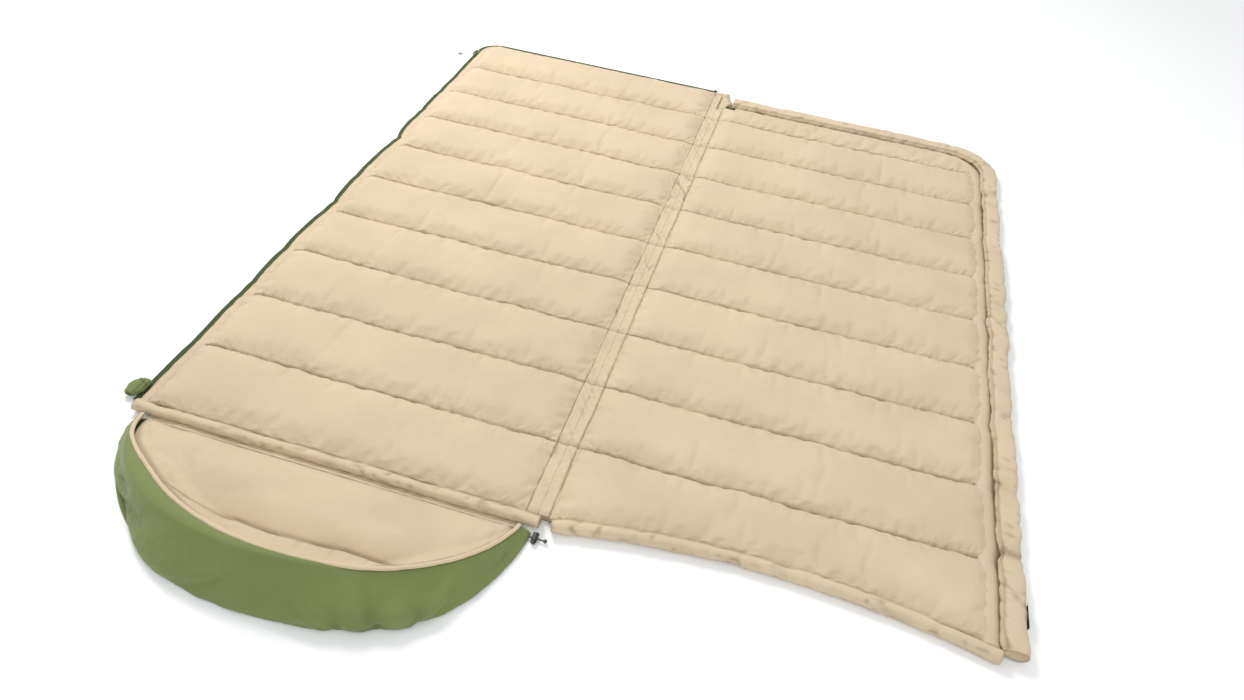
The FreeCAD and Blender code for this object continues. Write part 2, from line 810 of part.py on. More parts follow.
def rim_slab(label, low, high):
    """Everything between two heights above the sloping rim."""
    return side_prism(
        label,
        [
            (HOOD_BACK, rim_height(HOOD_BACK) + low),
            (HOOD_START, rim_height(HOOD_START) + low),
            (HOOD_START, rim_height(HOOD_START) + high),
            (HOOD_BACK, rim_height(HOOD_BACK) + high),
        ],
    )


def hood_channels(label, crown, valley, low):
    """The hood's two quilted channels, as a prism that runs across it."""
    flat = dim.valley_flat
    seam = HOOD_START - dim.hood_first
    first = channel_radius(crown, valley, dim.hood_first - flat * 2)
    rest = seam - flat - HOOD_BACK
    second = channel_radius(crown, valley, rest)
    corners = [
        (HOOD_START, low),
        (HOOD_START, valley),
        (HOOD_START - flat, valley),
        (seam + flat, valley),
        (seam - flat, valley),
        (HOOD_BACK, valley),
        (HOOD_BACK, low),
    ]
    return side_prism(label, corners, {2: (first, 1), 4: (second, 1)})


def hood_floor():
    """Outer shell, wadding and lining of the flat part of the hood."""
    shell = common(
        "hood_floor_shell",
        cone_form("shell_cone", dim.wall_thick),
        side_prism("shell_slab", rectangle(HOOD_BACK, HOOD_START, 0, dim.fabric)),
    )
    keep(shell, "hood_floor_shell")
    clear = 0.2
    inner = cone_form("lining_cone", dim.wall_thick + clear)
    whole = common(
        "hood_floor_form",
        inner,
        hood_channels("floor_channels", dim.hood_crown, dim.valley, dim.fabric),
    )
    wadding = common(
        "hood_floor_wadding",
        cone_form("wadding_cone", dim.wall_thick + dim.fabric),
        hood_channels(
            "wadding_channels", dim.hood_crown - dim.fabric, dim.valley - dim.fabric, dim.fabric
        ),
    )
    keep(wadding, "hood_floor_wadding")
    keep(difference("hood_floor_lining", whole, wadding), "hood_floor_lining")


def drawcord():
    """The drawcord: round the rim, down inside the wall at the fold, and out to its tail."""
    inside = (dim.wall_thick - dim.drawcord) / 2
    cord_ring = difference(
        "cord_ring",
        cone_form("cord_outer", inside),
        cone_form("cord_inner", inside + dim.drawcord),
    )
    low = (dim.piping - dim.drawcord) / 2
    in_rim = common("cord_in_rim", cord_ring, rim_slab("cord_slab", low, low + dim.drawcord))
    y = TAIL_Y.number
    depth = (HOOD_START - TAIL_Y).number
    top = dim.rim_low.number + depth * dim.rim_slope.number + dim.piping.number / 2
    bottom = dim.lock_radius.number
    lean = dim.hood_lean.number / dim.hood_loft.number
    wall = (dim.hood_x + dim.hood_half).number - dim.wall_thick.number / 2
    route = [
        FreeCAD.Vector(wall - lean * top, y, top),
        FreeCAD.Vector(wall - lean * bottom, y, bottom),
        FreeCAD.Vector(dim.tail_end.number, y, bottom),
    ]
    tail, _ = rounded_pipe("cord_tail", route, dim.drawcord.number / 2)
    return keep(union("hood_drawcord", in_rim, tail), "hood_drawcord")


def hood_wall(cord):
    """The wall that stands round the hood: outer shell, wadding and lining, holed for the cord."""
    layers = (
        ("hood_wall_shell", size(0), dim.fabric),
        ("hood_wall_wadding", dim.fabric, dim.wall_thick - dim.fabric),
        ("hood_wall_lining", dim.wall_thick - dim.fabric, dim.wall_thick),
    )
    for label, outer, inner in layers:
        ring = difference(
            "wall_ring", cone_form("wall_outer", outer), cone_form("wall_inner", inner)
        )
        below = side_prism(
            "below_rim",
            [
                (HOOD_BACK, 0),
                (HOOD_START, 0),
                (HOOD_START, rim_height(HOOD_START)),
                (HOOD_BACK, rim_height(HOOD_BACK)),
            ],
        )
        keep(difference(label, common("wall_form", ring, below), cord), label)


def hood_rim(cord):
    """Piping along the top of the wall, round the drawcord."""
    edge = (dim.wall_thick - dim.piping) / 2
    ring = difference(
        "piping_ring", cone_form("piping_outer", edge), cone_form("piping_inner", edge + dim.piping)
    )
    piping = common("piping_form", ring, rim_slab("piping_slab", 0, dim.piping))
    keep(difference("hood_piping", piping, cord), "hood_piping")


def hood_seam():
    """The row of stitching between the hood's two channels."""
    y = HOOD_START - dim.hood_first
    share = 0.76  # of the hood's width, where the channels are at full height
    half = dim.hood_half * share
    x = (dim.hood_x - half, dim.hood_x + half)
    rows = (y - dim.thread / 2, y + dim.thread / 2)
    seam = block("hood_quilting_thread", x, rows, (dim.valley, dim.valley + dim.thread))
    keep(seam, "hood_quilting_thread")


def cord_lock():
    """Barrel lock on the drawcord's tail: body, sprung button and spring."""
    x, z = dim.lock_x, dim.lock_radius
    ahead = 11  # cord to the lock's closed end
    wall, floor, slack = 1.4, 2, 0.2
    cord_hole = 1.8
    solid_spring = 2.4  # room that the spring still needs when the button is pressed
    proud = 1.5  # button left standing out when it is pressed
    back = TAIL_Y + ahead - dim.lock_length
    bore_radius = dim.lock_radius - wall
    bore_length = dim.lock_length - floor
    half = dim.lock_radius + 2
    barrel = rod("barrel", dim.lock_radius, (x, back, z), (0, 1, 0), dim.lock_length)
    bore = rod("bore", bore_radius, (x, back - 1, z), (0, 1, 0), bore_length + 1)
    hole = rod("hole", cord_hole, (x - half, TAIL_Y, z), (1, 0, 0), half * 2)
    keep(difference("cord_lock_body", difference("shell", barrel, bore), hole), "cord_lock_body")
    spring_space = dim.press + solid_spring
    button_end = back + bore_length - spring_space
    button_start = back - dim.press - proud
    plunger = rod(
        "plunger",
        bore_radius - slack,
        (x, button_start, z),
        (0, 1, 0),
        button_end - button_start,
    )
    clear = dim.drawcord / 2 + slack * 2
    slot_y = (TAIL_Y - clear - dim.press, TAIL_Y + clear)
    slot = block("slot", (x - half, x + half), slot_y, (z - clear, z + clear))
    keep(difference("cord_lock_button", plunger, slot), "cord_lock_button")
    lock_spring(x.number, button_end.number, z.number, spring_space.number)


def drawcord_knot():
    """The knot that stops the cord lock at the end of the drawcord's tail."""
    radius = 4.0
    knot = doc.addObject("Part::Sphere", "drawcord_knot")
    bind(knot, "Radius", radius)
    bind(knot, "Placement.Base.x", dim.tail_end + radius)
    bind(knot, "Placement.Base.y", TAIL_Y)
    bind(knot, "Placement.Base.z", dim.lock_radius)
    keep(knot, "drawcord_knot")


def lock_spring(x, y, z, space):
    """The compression spring that fills the space behind the button, along Y."""
    wire = 0.35
    radius = 2.6
    turns = 3
    steps = 8
    gap = 0.1
    rise = (space - gap * 2 - wire * 2) / (turns * steps)
    route = []
    for step in range(turns * steps + 1):
        angle = 2 * math.pi * step / steps
        along = y + gap + wire + rise * step
        across = x + radius * math.cos(angle)
        route.append(FreeCAD.Vector(across, along, z + radius * math.sin(angle)))
    spring, _ = rounded_pipe("cord_lock_spring", route, wire)
    keep(spring, "cord_lock_spring")


# ---------------------------------------------------------------- closure tab and label


def closure_tab():
    """Padded flap over the head end of the zip: a pad beside the coil and a tongue over it."""
    coil_edge = -(dim.quilt_half + dim.facing + dim.tape + dim.coil)
    clear, from_start = 1.5, 2
    tongue = dim.facing_top + 1
    y = PANEL_START + from_start
    forms = []
    for label, inset in (("tab_form", size(0)), ("closure_tab_wadding", dim.fabric)):
        outer = coil_edge - dim.tab_reach + inset
        step = coil_edge - clear - inset
        inner = -(dim.quilt_half + dim.facing + 1) - inset
        low, high = tongue + inset, dim.tab_top - inset
        body = new_body(label)
        section = [
            (outer, inset),
            (step, inset),
            (step, low),
            (inner, low),
            (inner, high),
            (outer, high),
        ]
        sketch = draw(new_sketch(body, "XZ_Plane", -(y + inset)), section)
        flap = pad(body, sketch, dim.tab_length - inset * 2)
        flap.Reversed = True
        forms.append(body)
    whole, wadding = forms
    keep(wadding, "closure_tab_wadding")
    keep(difference("closure_tab_cover", whole, wadding), "closure_tab_cover")


def care_label():
    """Blank label sewn into the outer side of the draft tube, near its head end."""
    thick, length = 0.8, 50
    low, high = 8, 29
    from_neck = 60
    x, _, _ = edge_at("over", dim.facing + dim.draft_offset + dim.draft_width / 2)
    y = dim.neck_y + from_neck
    label = block("care_label", (x, x + thick), (y, y + length), (low, high))
    keep(label, "care_label")


# ---------------------------------------------------------------- build and write


def build():
    for name in PANELS:
        quilted_panel(name)
        zip_half(name)
    fold_band()
    zip_ends()
    pull_cord(zip_puller(zip_slider()))
    collar_tube()
    head_tube()
    draft_tube()
    hood_floor()
    hood_seam()
    cord = drawcord()
    hood_wall(cord)
    hood_rim(cord)
    cord_lock()
    drawcord_knot()
    closure_tab()
    care_label()
    doc.recompute()


def check_document():
    """Stops if any object failed, or any piece is not a valid solid."""
    for thing in doc.Objects:
        if "Invalid" in thing.State or "Error" in thing.State:
            raise RuntimeError(f"{thing.Name} ({thing.Label}) failed: {thing.State}")
    for thing in PARTS:
        if thing.Shape.isNull() or not thing.Shape.isValid() or not thing.Shape.Solids:
            raise RuntimeError(f"{thing.Label} is not a valid solid")


def write_parts():
    os.makedirs("parts", exist_ok=True)
    for thing in PARTS:
        thing.Shape.exportStep(f"parts/{thing.Label}.step")
        box = thing.Shape.BoundBox
        print(
            f"{thing.Label:26s} {len(thing.Shape.Solids)} solids {thing.Shape.Volume / 1000:9.1f} cm3"
            f"  x {box.XMin:7.1f} {box.XMax:7.1f}  y {box.YMin:7.1f} {box.YMax:7.1f}"
            f"  z {box.ZMin:6.1f} {box.ZMax:6.1f}"
        )


build()
check_document()
write_parts()
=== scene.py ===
import math

import bpy
import numpy as np
from mathutils import Matrix, Vector


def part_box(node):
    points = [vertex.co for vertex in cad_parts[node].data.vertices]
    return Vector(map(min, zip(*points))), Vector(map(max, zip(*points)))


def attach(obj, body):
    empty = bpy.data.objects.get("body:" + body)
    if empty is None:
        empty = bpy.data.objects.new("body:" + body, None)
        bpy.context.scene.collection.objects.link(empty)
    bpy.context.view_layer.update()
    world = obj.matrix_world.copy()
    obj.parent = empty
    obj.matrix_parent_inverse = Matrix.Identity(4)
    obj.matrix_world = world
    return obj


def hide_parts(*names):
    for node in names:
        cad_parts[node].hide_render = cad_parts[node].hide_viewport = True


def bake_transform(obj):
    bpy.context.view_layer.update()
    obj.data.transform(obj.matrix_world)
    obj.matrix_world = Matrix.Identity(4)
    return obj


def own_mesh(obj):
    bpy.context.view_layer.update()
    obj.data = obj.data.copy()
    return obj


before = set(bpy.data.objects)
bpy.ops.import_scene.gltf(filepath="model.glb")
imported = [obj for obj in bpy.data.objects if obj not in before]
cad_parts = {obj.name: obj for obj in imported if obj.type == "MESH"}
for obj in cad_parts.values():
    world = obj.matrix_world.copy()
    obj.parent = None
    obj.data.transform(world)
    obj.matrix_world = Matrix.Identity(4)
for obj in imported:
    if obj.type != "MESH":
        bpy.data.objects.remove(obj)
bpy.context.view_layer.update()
UNDER_LOW, UNDER_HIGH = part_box("under_lining")
OVER_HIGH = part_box("over_lining")[1]
HEAD_LOW, HEAD_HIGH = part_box("head_tube_casing")
START = UNDER_LOW[1]
NECK = START - 0.002
PITCH = (UNDER_HIGH[1] - START) / 10
FOLD = -UNDER_HIGH[0]
OUTER = -UNDER_LOW[0]
VALLEY, CROWN = 0.0118, 0.0262  # heights of a seam and of a channel's crown
BAND = 0.0140  # height of the fold band
FACING = 0.020  # width of the zip's facing


# ---------------------------------------------------------------- camera, lights and floor


def camera():
    """The eye at the hood's end, above the fold, looking towards the foot."""
    data = bpy.data.cameras.new("camera")
    data.lens, data.sensor_width, data.sensor_fit = 25.08, 36.0, "HORIZONTAL"
    data.clip_start = 0.02
    eye = bpy.data.objects.new("camera", data)
    right = (0.95794059, 0.27375925, 0.08605633)
    up = (-0.24900169, 0.64388544, 0.7234706)
    back = (0.14264635, -0.71447002, 0.68497051)
    place = (0.3204355, NECK - 0.9584708, 1.42398446)
    rows = [[right[i], up[i], back[i], place[i]] for i in range(3)]
    eye.matrix_world = Matrix(rows + [[0, 0, 0, 1]])
    bpy.context.scene.collection.objects.link(eye)
    bpy.context.scene.camera = eye


def area_light(name, place, target, width, energy, colour=(1, 1, 1)):
    """A square lamp at a place, turned to its target."""
    data = bpy.data.lights.new(name, "AREA")
    data.shape, data.size, data.energy, data.color = "SQUARE", width, energy, colour
    lamp = bpy.data.objects.new(name, data)
    lamp.location = place
    lamp.rotation_euler = (Vector(target) - Vector(place)).to_track_quat("-Z", "Y").to_euler()
    bpy.context.scene.collection.objects.link(lamp)


def studio():
    """A soft key from the foot end, a broad fill, a pale sky and a pale floor."""
    bpy.context.scene.view_settings.view_transform = "Standard"
    area_light("key", (-2.0, 1.7, 2.9), (0.1, 0.1, 0), 1.2, 100, (1.0, 0.985, 0.96))
    area_light("fill", (2.0, -2.8, 2.8), (0, 0, 0), 2.6, 34)
    world = bpy.data.worlds.new("studio")
    bpy.context.scene.world = world
    world.use_nodes = True
    back = world.node_tree.nodes["Background"]
    back.inputs["Color"].default_value = (0.96, 0.98, 1.0, 1)
    back.inputs["Strength"].default_value = 0.80
    mesh = bpy.data.meshes.new("floor")
    far, low = 9, -0.0004
    corners = [(-far, -far, low), (far, -far, low), (far, far, low), (-far, far, low)]
    mesh.from_pydata(corners, [], [(0, 1, 2, 3)])
    floor = bpy.data.objects.new("floor", mesh)
    bpy.context.scene.collection.objects.link(floor)
    paint = bpy.data.materials.new("floor_paper")
    paint.use_nodes = True
    shader = paint.node_tree.nodes["Principled BSDF"]
    shader.inputs["Base Color"].default_value = (0.93, 0.93, 0.925, 1)
    shader.inputs["Roughness"].default_value = 0.9
    mesh.materials.append(paint)


camera()
studio()


# ---------------------------------------------------------------- materials


def new_material(name, roughness, **fixed):
    """A material with its shader's constant sockets set; returns it, its tree and its shader."""
    made = bpy.data.materials.new(name)
    made.use_nodes = True
    shader = made.node_tree.nodes["Principled BSDF"]
    shader.inputs["Roughness"].default_value = roughness
    for socket, value in fixed.items():
        shader.inputs[socket.replace("_", " ")].default_value = value
    return made, made.node_tree, shader


def node(tree, kind, **inputs):
    """A shader node with some of its sockets set."""
    made = tree.nodes.new(kind)
    for socket, value in inputs.items():
        made.inputs[socket.replace("_", " ")].default_value = value
    return made


def texture(tree, kind, stretch, **inputs):
    """A texture over the object's own coordinates, scaled along each axis."""
    place = tree.nodes.new("ShaderNodeTexCoord")
    scaled = node(tree, "ShaderNodeMapping", Scale=stretch)
    made = node(tree, kind, **inputs)
    tree.links.new(place.outputs["Object"], scaled.inputs["Vector"])
    tree.links.new(scaled.outputs["Vector"], made.inputs["Vector"])
    return made


def mixed(tree, kind, one, two, factor=1.0):
    """Two colours blended by a number or by a socket."""
    made = tree.nodes.new("ShaderNodeMix")
    made.data_type, made.blend_type = "RGBA", kind
    if isinstance(factor, float):
        made.inputs[0].default_value = factor
    else:
        tree.links.new(factor, made.inputs[0])
    for slot, value in ((6, one), (7, two)):
        if isinstance(value, tuple):
            made.inputs[slot].default_value = value
        else:
            tree.links.new(value, made.inputs[slot])
    return made.outputs[2]


def shade(colour, times):
    """A colour made lighter or darker, with its alpha."""
    return tuple(min(c * times, 1.0) for c in colour) + (1.0,)


def ramp(tree, source, **limits):
    """A socket's value mapped from one range to another."""
    made = node(tree, "ShaderNodeMapRange", **limits)
    tree.links.new(source, made.inputs["Value"])
    return made.outputs["Result"]


def bump(tree, source, distance, strength=1.0, under=None):
    """A bump from a height socket, over another bump if there is one."""
    made = node(tree, "ShaderNodeBump", Distance=distance, Strength=strength)
    tree.links.new(source, made.inputs["Height"])
    if under is not None:
        tree.links.new(under, made.inputs["Normal"])
    return made.outputs["Normal"]


def cloth_material(name, colour, threads, sheen, roughness=0.86, crease_depth_and_shade=0.0006, nap=0.0):
    """Woven cloth: colour that varies, crossing threads, fine creases, shade painted into the mesh's folds,
    and a nap if brushed.
    """
    tint = tuple(0.5 + 0.5 * c for c in colour) + (1.0,)
    made, tree, shader = new_material(
        name, roughness, Sheen_Weight=sheen, Sheen_Roughness=0.45, Sheen_Tint=tint, Specular_IOR_Level=0.25
    )
    broad = texture(tree, "ShaderNodeTexNoise", (1, 1, 1), Scale=5.0, Detail=5.0, Roughness=0.6)
    slub = texture(tree, "ShaderNodeTexNoise", (30, 260, 60), Scale=1.0, Detail=3.0)
    warp = texture(tree, "ShaderNodeTexWave", (1, 0.15, 1), Scale=threads, Distortion=0.6)
    weft = texture(tree, "ShaderNodeTexWave", (0.15, 1, 1), Scale=threads, Distortion=0.6)
    weft.bands_direction = "Y"
    patches = ramp(tree, broad.outputs["Fac"], From_Min=0.3, From_Max=0.7)
    base = mixed(tree, "MIX", shade(colour, 0.93), shade(colour, 1.06), patches)
    streaks = ramp(tree, slub.outputs["Fac"], From_Min=0.56, From_Max=1.1)
    base = mixed(tree, "MIX", base, shade(colour, 0.86), streaks)
    weave = mixed(tree, "MULTIPLY", warp.outputs["Color"], weft.outputs["Color"])
    base = mixed(tree, "MULTIPLY", base, mixed(tree, "MIX", (0.90, 0.89, 0.88, 1), (1, 1, 1, 1), weave))
    # painted shade: the colour darkens towards a deep brown by the mesh's crease attribute, where folds and
    # seams would lie in shadow
    fold_and_shade = tree.nodes.new("ShaderNodeAttribute")
    fold_and_shade.attribute_name = "crease_depth_and_shade"
    crease_shadow_colour = tuple(c**1.25 * 0.42 for c in colour) + (1.0,)
    base = mixed(tree, "MIX", base, crease_shadow_colour, fold_and_shade.outputs["Fac"])
    tree.links.new(base, shader.inputs["Base Color"])
    creases = texture(
        tree, "ShaderNodeTexNoise", (1, 0.55, 1), Scale=70.0, Detail=5.0, Roughness=0.62, Distortion=0.5
    )
    normal = bump(tree, creases.outputs["Fac"], crease_depth_and_shade, 0.8)
    normal = bump(tree, weave, 0.00012, 0.6, normal)
    if nap:
        fuzz = texture(tree, "ShaderNodeTexNoise", (1, 1, 1), Scale=900.0, Detail=3.0, Roughness=0.7)
        normal = bump(tree, fuzz.outputs["Fac"], nap, 0.8, normal)
    tree.links.new(normal, shader.inputs["Normal"])
    return made


def thread_material(name, colour):
    """Twisted thread: a fine helix of light and dark along it."""
    made, tree, shader = new_material(name, 0.6, Sheen_Weight=0.2, Specular_IOR_Level=0.4)
    twist = texture(tree, "ShaderNodeTexWave", (1, 0.6, 0.8), Scale=420.0, Distortion=1.0)
    tone = texture(tree, "ShaderNodeTexNoise", (1, 1, 1), Scale=40.0, Detail=2.0)
    base = mixed(tree, "MIX", shade(colour, 0.72), shade(colour, 1.1), twist.outputs["Color"])
    patches = mixed(tree, "MIX", (0.85, 0.85, 0.85, 1), (1, 1, 1, 1), tone.outputs["Fac"])
    base = mixed(tree, "MULTIPLY", base, patches)
    tree.links.new(base, shader.inputs["Base Color"])
    tree.links.new(bump(tree, twist.outputs["Fac"], 0.0002), shader.inputs["Normal"])
    return made


def plastic_material(name, colour, roughness, grain, metallic=0.0, coat=0.0, edge_highlight=None):
    """Moulded or enamelled surface: fine grain, uneven gloss, and a painted highlight on its sharp edges if
    given one.
    """
    made, tree, shader = new_material(
        name, roughness, Metallic=metallic, Coat_Weight=coat, Coat_Roughness=0.25
    )
    tone = texture(tree, "ShaderNodeTexNoise", (1, 1, 1), Scale=60.0, Detail=4.0)
    base = mixed(tree, "MIX", shade(colour, 0.85), shade(colour, 1.15), tone.outputs["Fac"])
    if edge_highlight is not None:
        # painted highlight: the sharpest edges are lightened towards a pale grey, as if light caught them
        edge = tree.nodes.new("ShaderNodeNewGeometry")
        edge_highlight_mask = ramp(tree, edge.outputs["Pointiness"], From_Min=0.54, From_Max=0.62)
        base = mixed(tree, "MIX", base, edge_highlight + (1.0,), edge_highlight_mask)
    tree.links.new(base, shader.inputs["Base Color"])
    gloss = ramp(tree, tone.outputs["Fac"], To_Min=roughness - 0.08, To_Max=roughness + 0.1)
    tree.links.new(gloss, shader.inputs["Roughness"])
    speck = texture(tree, "ShaderNodeTexNoise", (1, 1, 1), Scale=1500.0, Detail=2.0)
    tree.links.new(bump(tree, speck.outputs["Fac"], grain, 0.5), shader.inputs["Normal"])
    return made


TAN = cloth_material("tan_cotton", (0.635, 0.515, 0.358), 360.0, 0.12)
TAN_LIGHT = cloth_material("tan_cotton_tube", (0.655, 0.53, 0.365), 360.0, 0.12, crease_depth_and_shade=0.0011)
GREEN = cloth_material("green_brushed_cotton", (0.195, 0.240, 0.083), 300.0, 0.35, 0.92, 0.0013, 0.0003)
TAPE = cloth_material("zip_tape_weave", (0.055, 0.085, 0.028), 900.0, 0.1, 0.8, 0.0002)
LABEL = cloth_material("label_weave", (0.10, 0.10, 0.085), 1100.0, 0.1, 0.7, 0.0001)
THREAD = thread_material("seam_thread", (0.60, 0.47, 0.30))
GREEN_THREAD = thread_material("green_thread", (0.13, 0.17, 0.06))
CORD = thread_material("pull_cord_braid", (0.62, 0.60, 0.50))
DARK_CORD = thread_material("drawcord_braid", (0.07, 0.08, 0.05))
NYLON = plastic_material("zip_nylon", (0.05, 0.085, 0.03), 0.42, 0.00003)
ENAMEL = plastic_material(
    "slider_enamel", (0.045, 0.075, 0.028), 0.35, 0.00002, 0.35, 0.3, (0.30, 0.31, 0.28)
)
GRIP = plastic_material("grip_rubber", (0.33, 0.35, 0.27), 0.6, 0.00008)
LOCK = plastic_material("lock_plastic", (0.03, 0.03, 0.03), 0.42, 0.00005)
STEEL = plastic_material("spring_wire", (0.6, 0.6, 0.58), 0.3, 0.00001, 1.0)


# ---------------------------------------------------------------- meshes


def noise(x, y, seed):
    """Smooth noise from -1 to 1 over a lattice with a step of 1."""
    table = np.random.default_rng(seed).uniform(-1, 1, (64, 64))
    x, y = np.broadcast_arrays(np.asarray(x, float), np.asarray(y, float))
    i, j = np.floor(x).astype(int), np.floor(y).astype(int)
    u, v = x - i, y - j
    u, v = u * u * (3 - 2 * u), v * v * (3 - 2 * v)
    a, b = table[i % 64, j % 64], table[(i + 1) % 64, j % 64]
    c, d = table[i % 64, (j + 1) % 64], table[(i + 1) % 64, (j + 1) % 64]
    return (a * (1 - u) + b * u) * (1 - v) + (c * (1 - u) + d * u) * v


def bell(x, width):
    """A smooth bump, 1 at x = 0."""
    return np.exp(-((x / width) ** 2))


def step(x, low, high):
    """A smooth rise from 0 at low to 1 at high."""
    t = np.clip((x - low) / (high - low), 0, 1)
    return t * t * (3 - 2 * t)


def piece(name, verts, faces, material, body=None, nodes=(), crease_depth_and_shade=None):
    """A mesh object that rides on a body and stands for CAD nodes; its last argument is shade painted into
    its folds.
    """
    mesh = bpy.data.meshes.new(name)
    mesh.from_pydata(np.asarray(verts, float).tolist(), [], faces)
    mesh.materials.append(material)
    mesh.polygons.foreach_set("use_smooth", [True] * len(mesh.polygons))
    if crease_depth_and_shade is not None:
        # painted shade for each point, stored as the attribute that the cloth darkens by
        painted_shade = np.zeros(len(verts))
        painted_shade[: crease_depth_and_shade.size] = np.clip(crease_depth_and_shade.ravel(), 0, 1)
        mesh.attributes.new("crease_depth_and_shade", "FLOAT", "POINT").data.foreach_set("value", painted_shade)
    mesh.update()
    made = bpy.data.objects.new(name, mesh)
    bpy.context.scene.collection.objects.link(made)
    if body:
        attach(made, body)
    if nodes:
        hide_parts(*nodes)
    return made


def grid_faces(rows, columns, first=0, flip=False):
    """Quads between the points of a grid."""
    i, j = np.meshgrid(np.arange(rows - 1), np.arange(columns - 1), indexing="ij")
    a = (first + i * columns + j).ravel()
    corners = [a, a + 1, a + columns + 1, a + columns]
    if flip:
        corners.reverse()
    return np.stack(corners, axis=1).tolist()


def rim_of(rows, columns):
    """The border of a grid, in order round it."""
    border = [(0, j) for j in range(columns)] + [(i, columns - 1) for i in range(1, rows)]
    border += [(rows - 1, j) for j in range(columns - 2, -1, -1)]
    return border + [(i, 0) for i in range(rows - 2, 0, -1)]


def closed_pad(grid, low, flip, coarse=8):
    """A grid of points closed below by a flat base with wider columns, at height low."""
    rows, columns, _ = grid.shape
    verts = grid.reshape(-1, 3)
    faces = grid_faces(rows, columns, 0, flip)
    first = len(verts)
    base = {}
    for i, j in rim_of(rows, columns):
        base[i, j] = first + len(base)
    rim = list(base)
    for k, one in enumerate(rim):
        two = rim[(k + 1) % len(rim)]
        face = [two[0] * columns + two[1], one[0] * columns + one[1], base[one], base[two]]
        faces.append(face[::-1] if flip else face)
    stops = list(range(0, columns - 1, coarse)) + [columns - 1]
    for i in range(1, rows - 1):
        for j in stops[1:-1]:
            base[i, j] = first + len(base)
    for i in range(rows - 1):
        for j, after in zip(stops, stops[1:]):
            near = [base[i, k] for k in (range(j, after + 1) if i == 0 else (j, after))]
            far = [base[i + 1, k] for k in (range(after, j - 1, -1) if i == rows - 2 else (after, j))]
            face = near + far
            faces.append(face if flip else face[::-1])
    under = np.array([grid[place] for place in base])
    under[:, 2] = low
    return np.vstack([verts, under]), faces


def two_skins(lower, upper, flip):
    """A thin closed sheet from two grids of the same shape."""
    rows, columns, _ = lower.shape
    count = rows * columns
    faces = grid_faces(rows, columns, 0, not flip) + grid_faces(rows, columns, count, flip)
    edge = [i * columns + j for i, j in rim_of(rows, columns)]
    for k, a in enumerate(edge):
        b = edge[(k + 1) % len(edge)]
        face = [a, b, b + count, a + count]
        faces.append(face[::-1] if flip else face)
    return np.vstack([lower.reshape(-1, 3), upper.reshape(-1, 3)]), faces


def finer(grid):
    """The same surface with a point between each two, on a cubic through its neighbours."""
    for axis in (0, 1):
        g = np.moveaxis(grid, axis, 0)
        middle = (g[:-1] + g[1:]) / 2
        middle[1:-1] = (-g[:-3] + 9 * g[1:-2] + 9 * g[2:-1] - g[3:]) / 16
        out = np.empty((len(g) * 2 - 1,) + g.shape[1:])
        out[::2], out[1::2] = g, middle
        grid = np.moveaxis(out, 0, axis)
    return grid


def tube_faces(count, sides):
    """Quads along a tube of rings."""
    faces = []
    for i in range(count - 1):
        for k in range(sides):
            a, b = i * sides + k, i * sides + (k + 1) % sides
            faces.append([a, b, b + sides, a + sides])
    return faces


def capped_tube(count, sides):
    """Faces of a closed tube of rings, facing the other way round, with flat ends."""
    faces = [[a, d, c, b] for a, b, c, d in tube_faces(count, sides)]
    return faces + [list(range(sides)), [(count - 1) * sides + sides - 1 - k for k in range(sides)]]


def sweep_mesh(path, normal, ring, dent=0.006):
    """A closed tube: ring[i, k] = (outwards, up) round path point i, with dented ends."""
    count, sides, _ = ring.shape
    verts = path[:, None, :] + ring[:, :, :1] * normal[:, None, :]
    verts[:, :, 2] += ring[:, :, 1]
    faces = tube_faces(count, sides)
    verts = verts.reshape(-1, 3)
    for i, inner in ((0, 1), (count - 1, count - 2)):
        middle = verts[i * sides : (i + 1) * sides].mean(axis=0)
        inward = path[inner] - path[i]
        inward = inward / np.linalg.norm(inward)
        hem = middle + (verts[i * sides : (i + 1) * sides] - middle) * 0.72 + inward * dent * 0.4
        deep = middle + inward * dent
        first = len(verts)
        verts = np.vstack([verts, hem, deep[None]])
        for k in range(sides):
            a, b = i * sides + k, i * sides + (k + 1) % sides
            c, d = first + k, first + (k + 1) % sides
            near = [b, a, c, d] if i == 0 else [a, b, d, c]
            last = [d, c, first + sides] if i == 0 else [c, d, first + sides]
            faces += [near, last]
    return verts, faces


def along(path):
    """Distance along a path at each of its points."""
    return np.concatenate([[0], np.cumsum(np.linalg.norm(np.diff(path, axis=0), axis=1))])


def spaced(path, gap):
    """Points every gap along a path."""
    s = along(path)
    at = np.linspace(0, s[-1], max(int(s[-1] / gap), 2) + 1)
    return np.stack([np.interp(at, s, path[:, k]) for k in range(3)], axis=1)


def outwards(path, side):
    """Level unit normals of a path, on its right for side 1."""
    ahead = np.gradient(path, axis=0)
    normal = np.stack([ahead[:, 1], -ahead[:, 0], np.zeros(len(path))], axis=1) * side
    return normal / np.linalg.norm(normal, axis=1)[:, None]


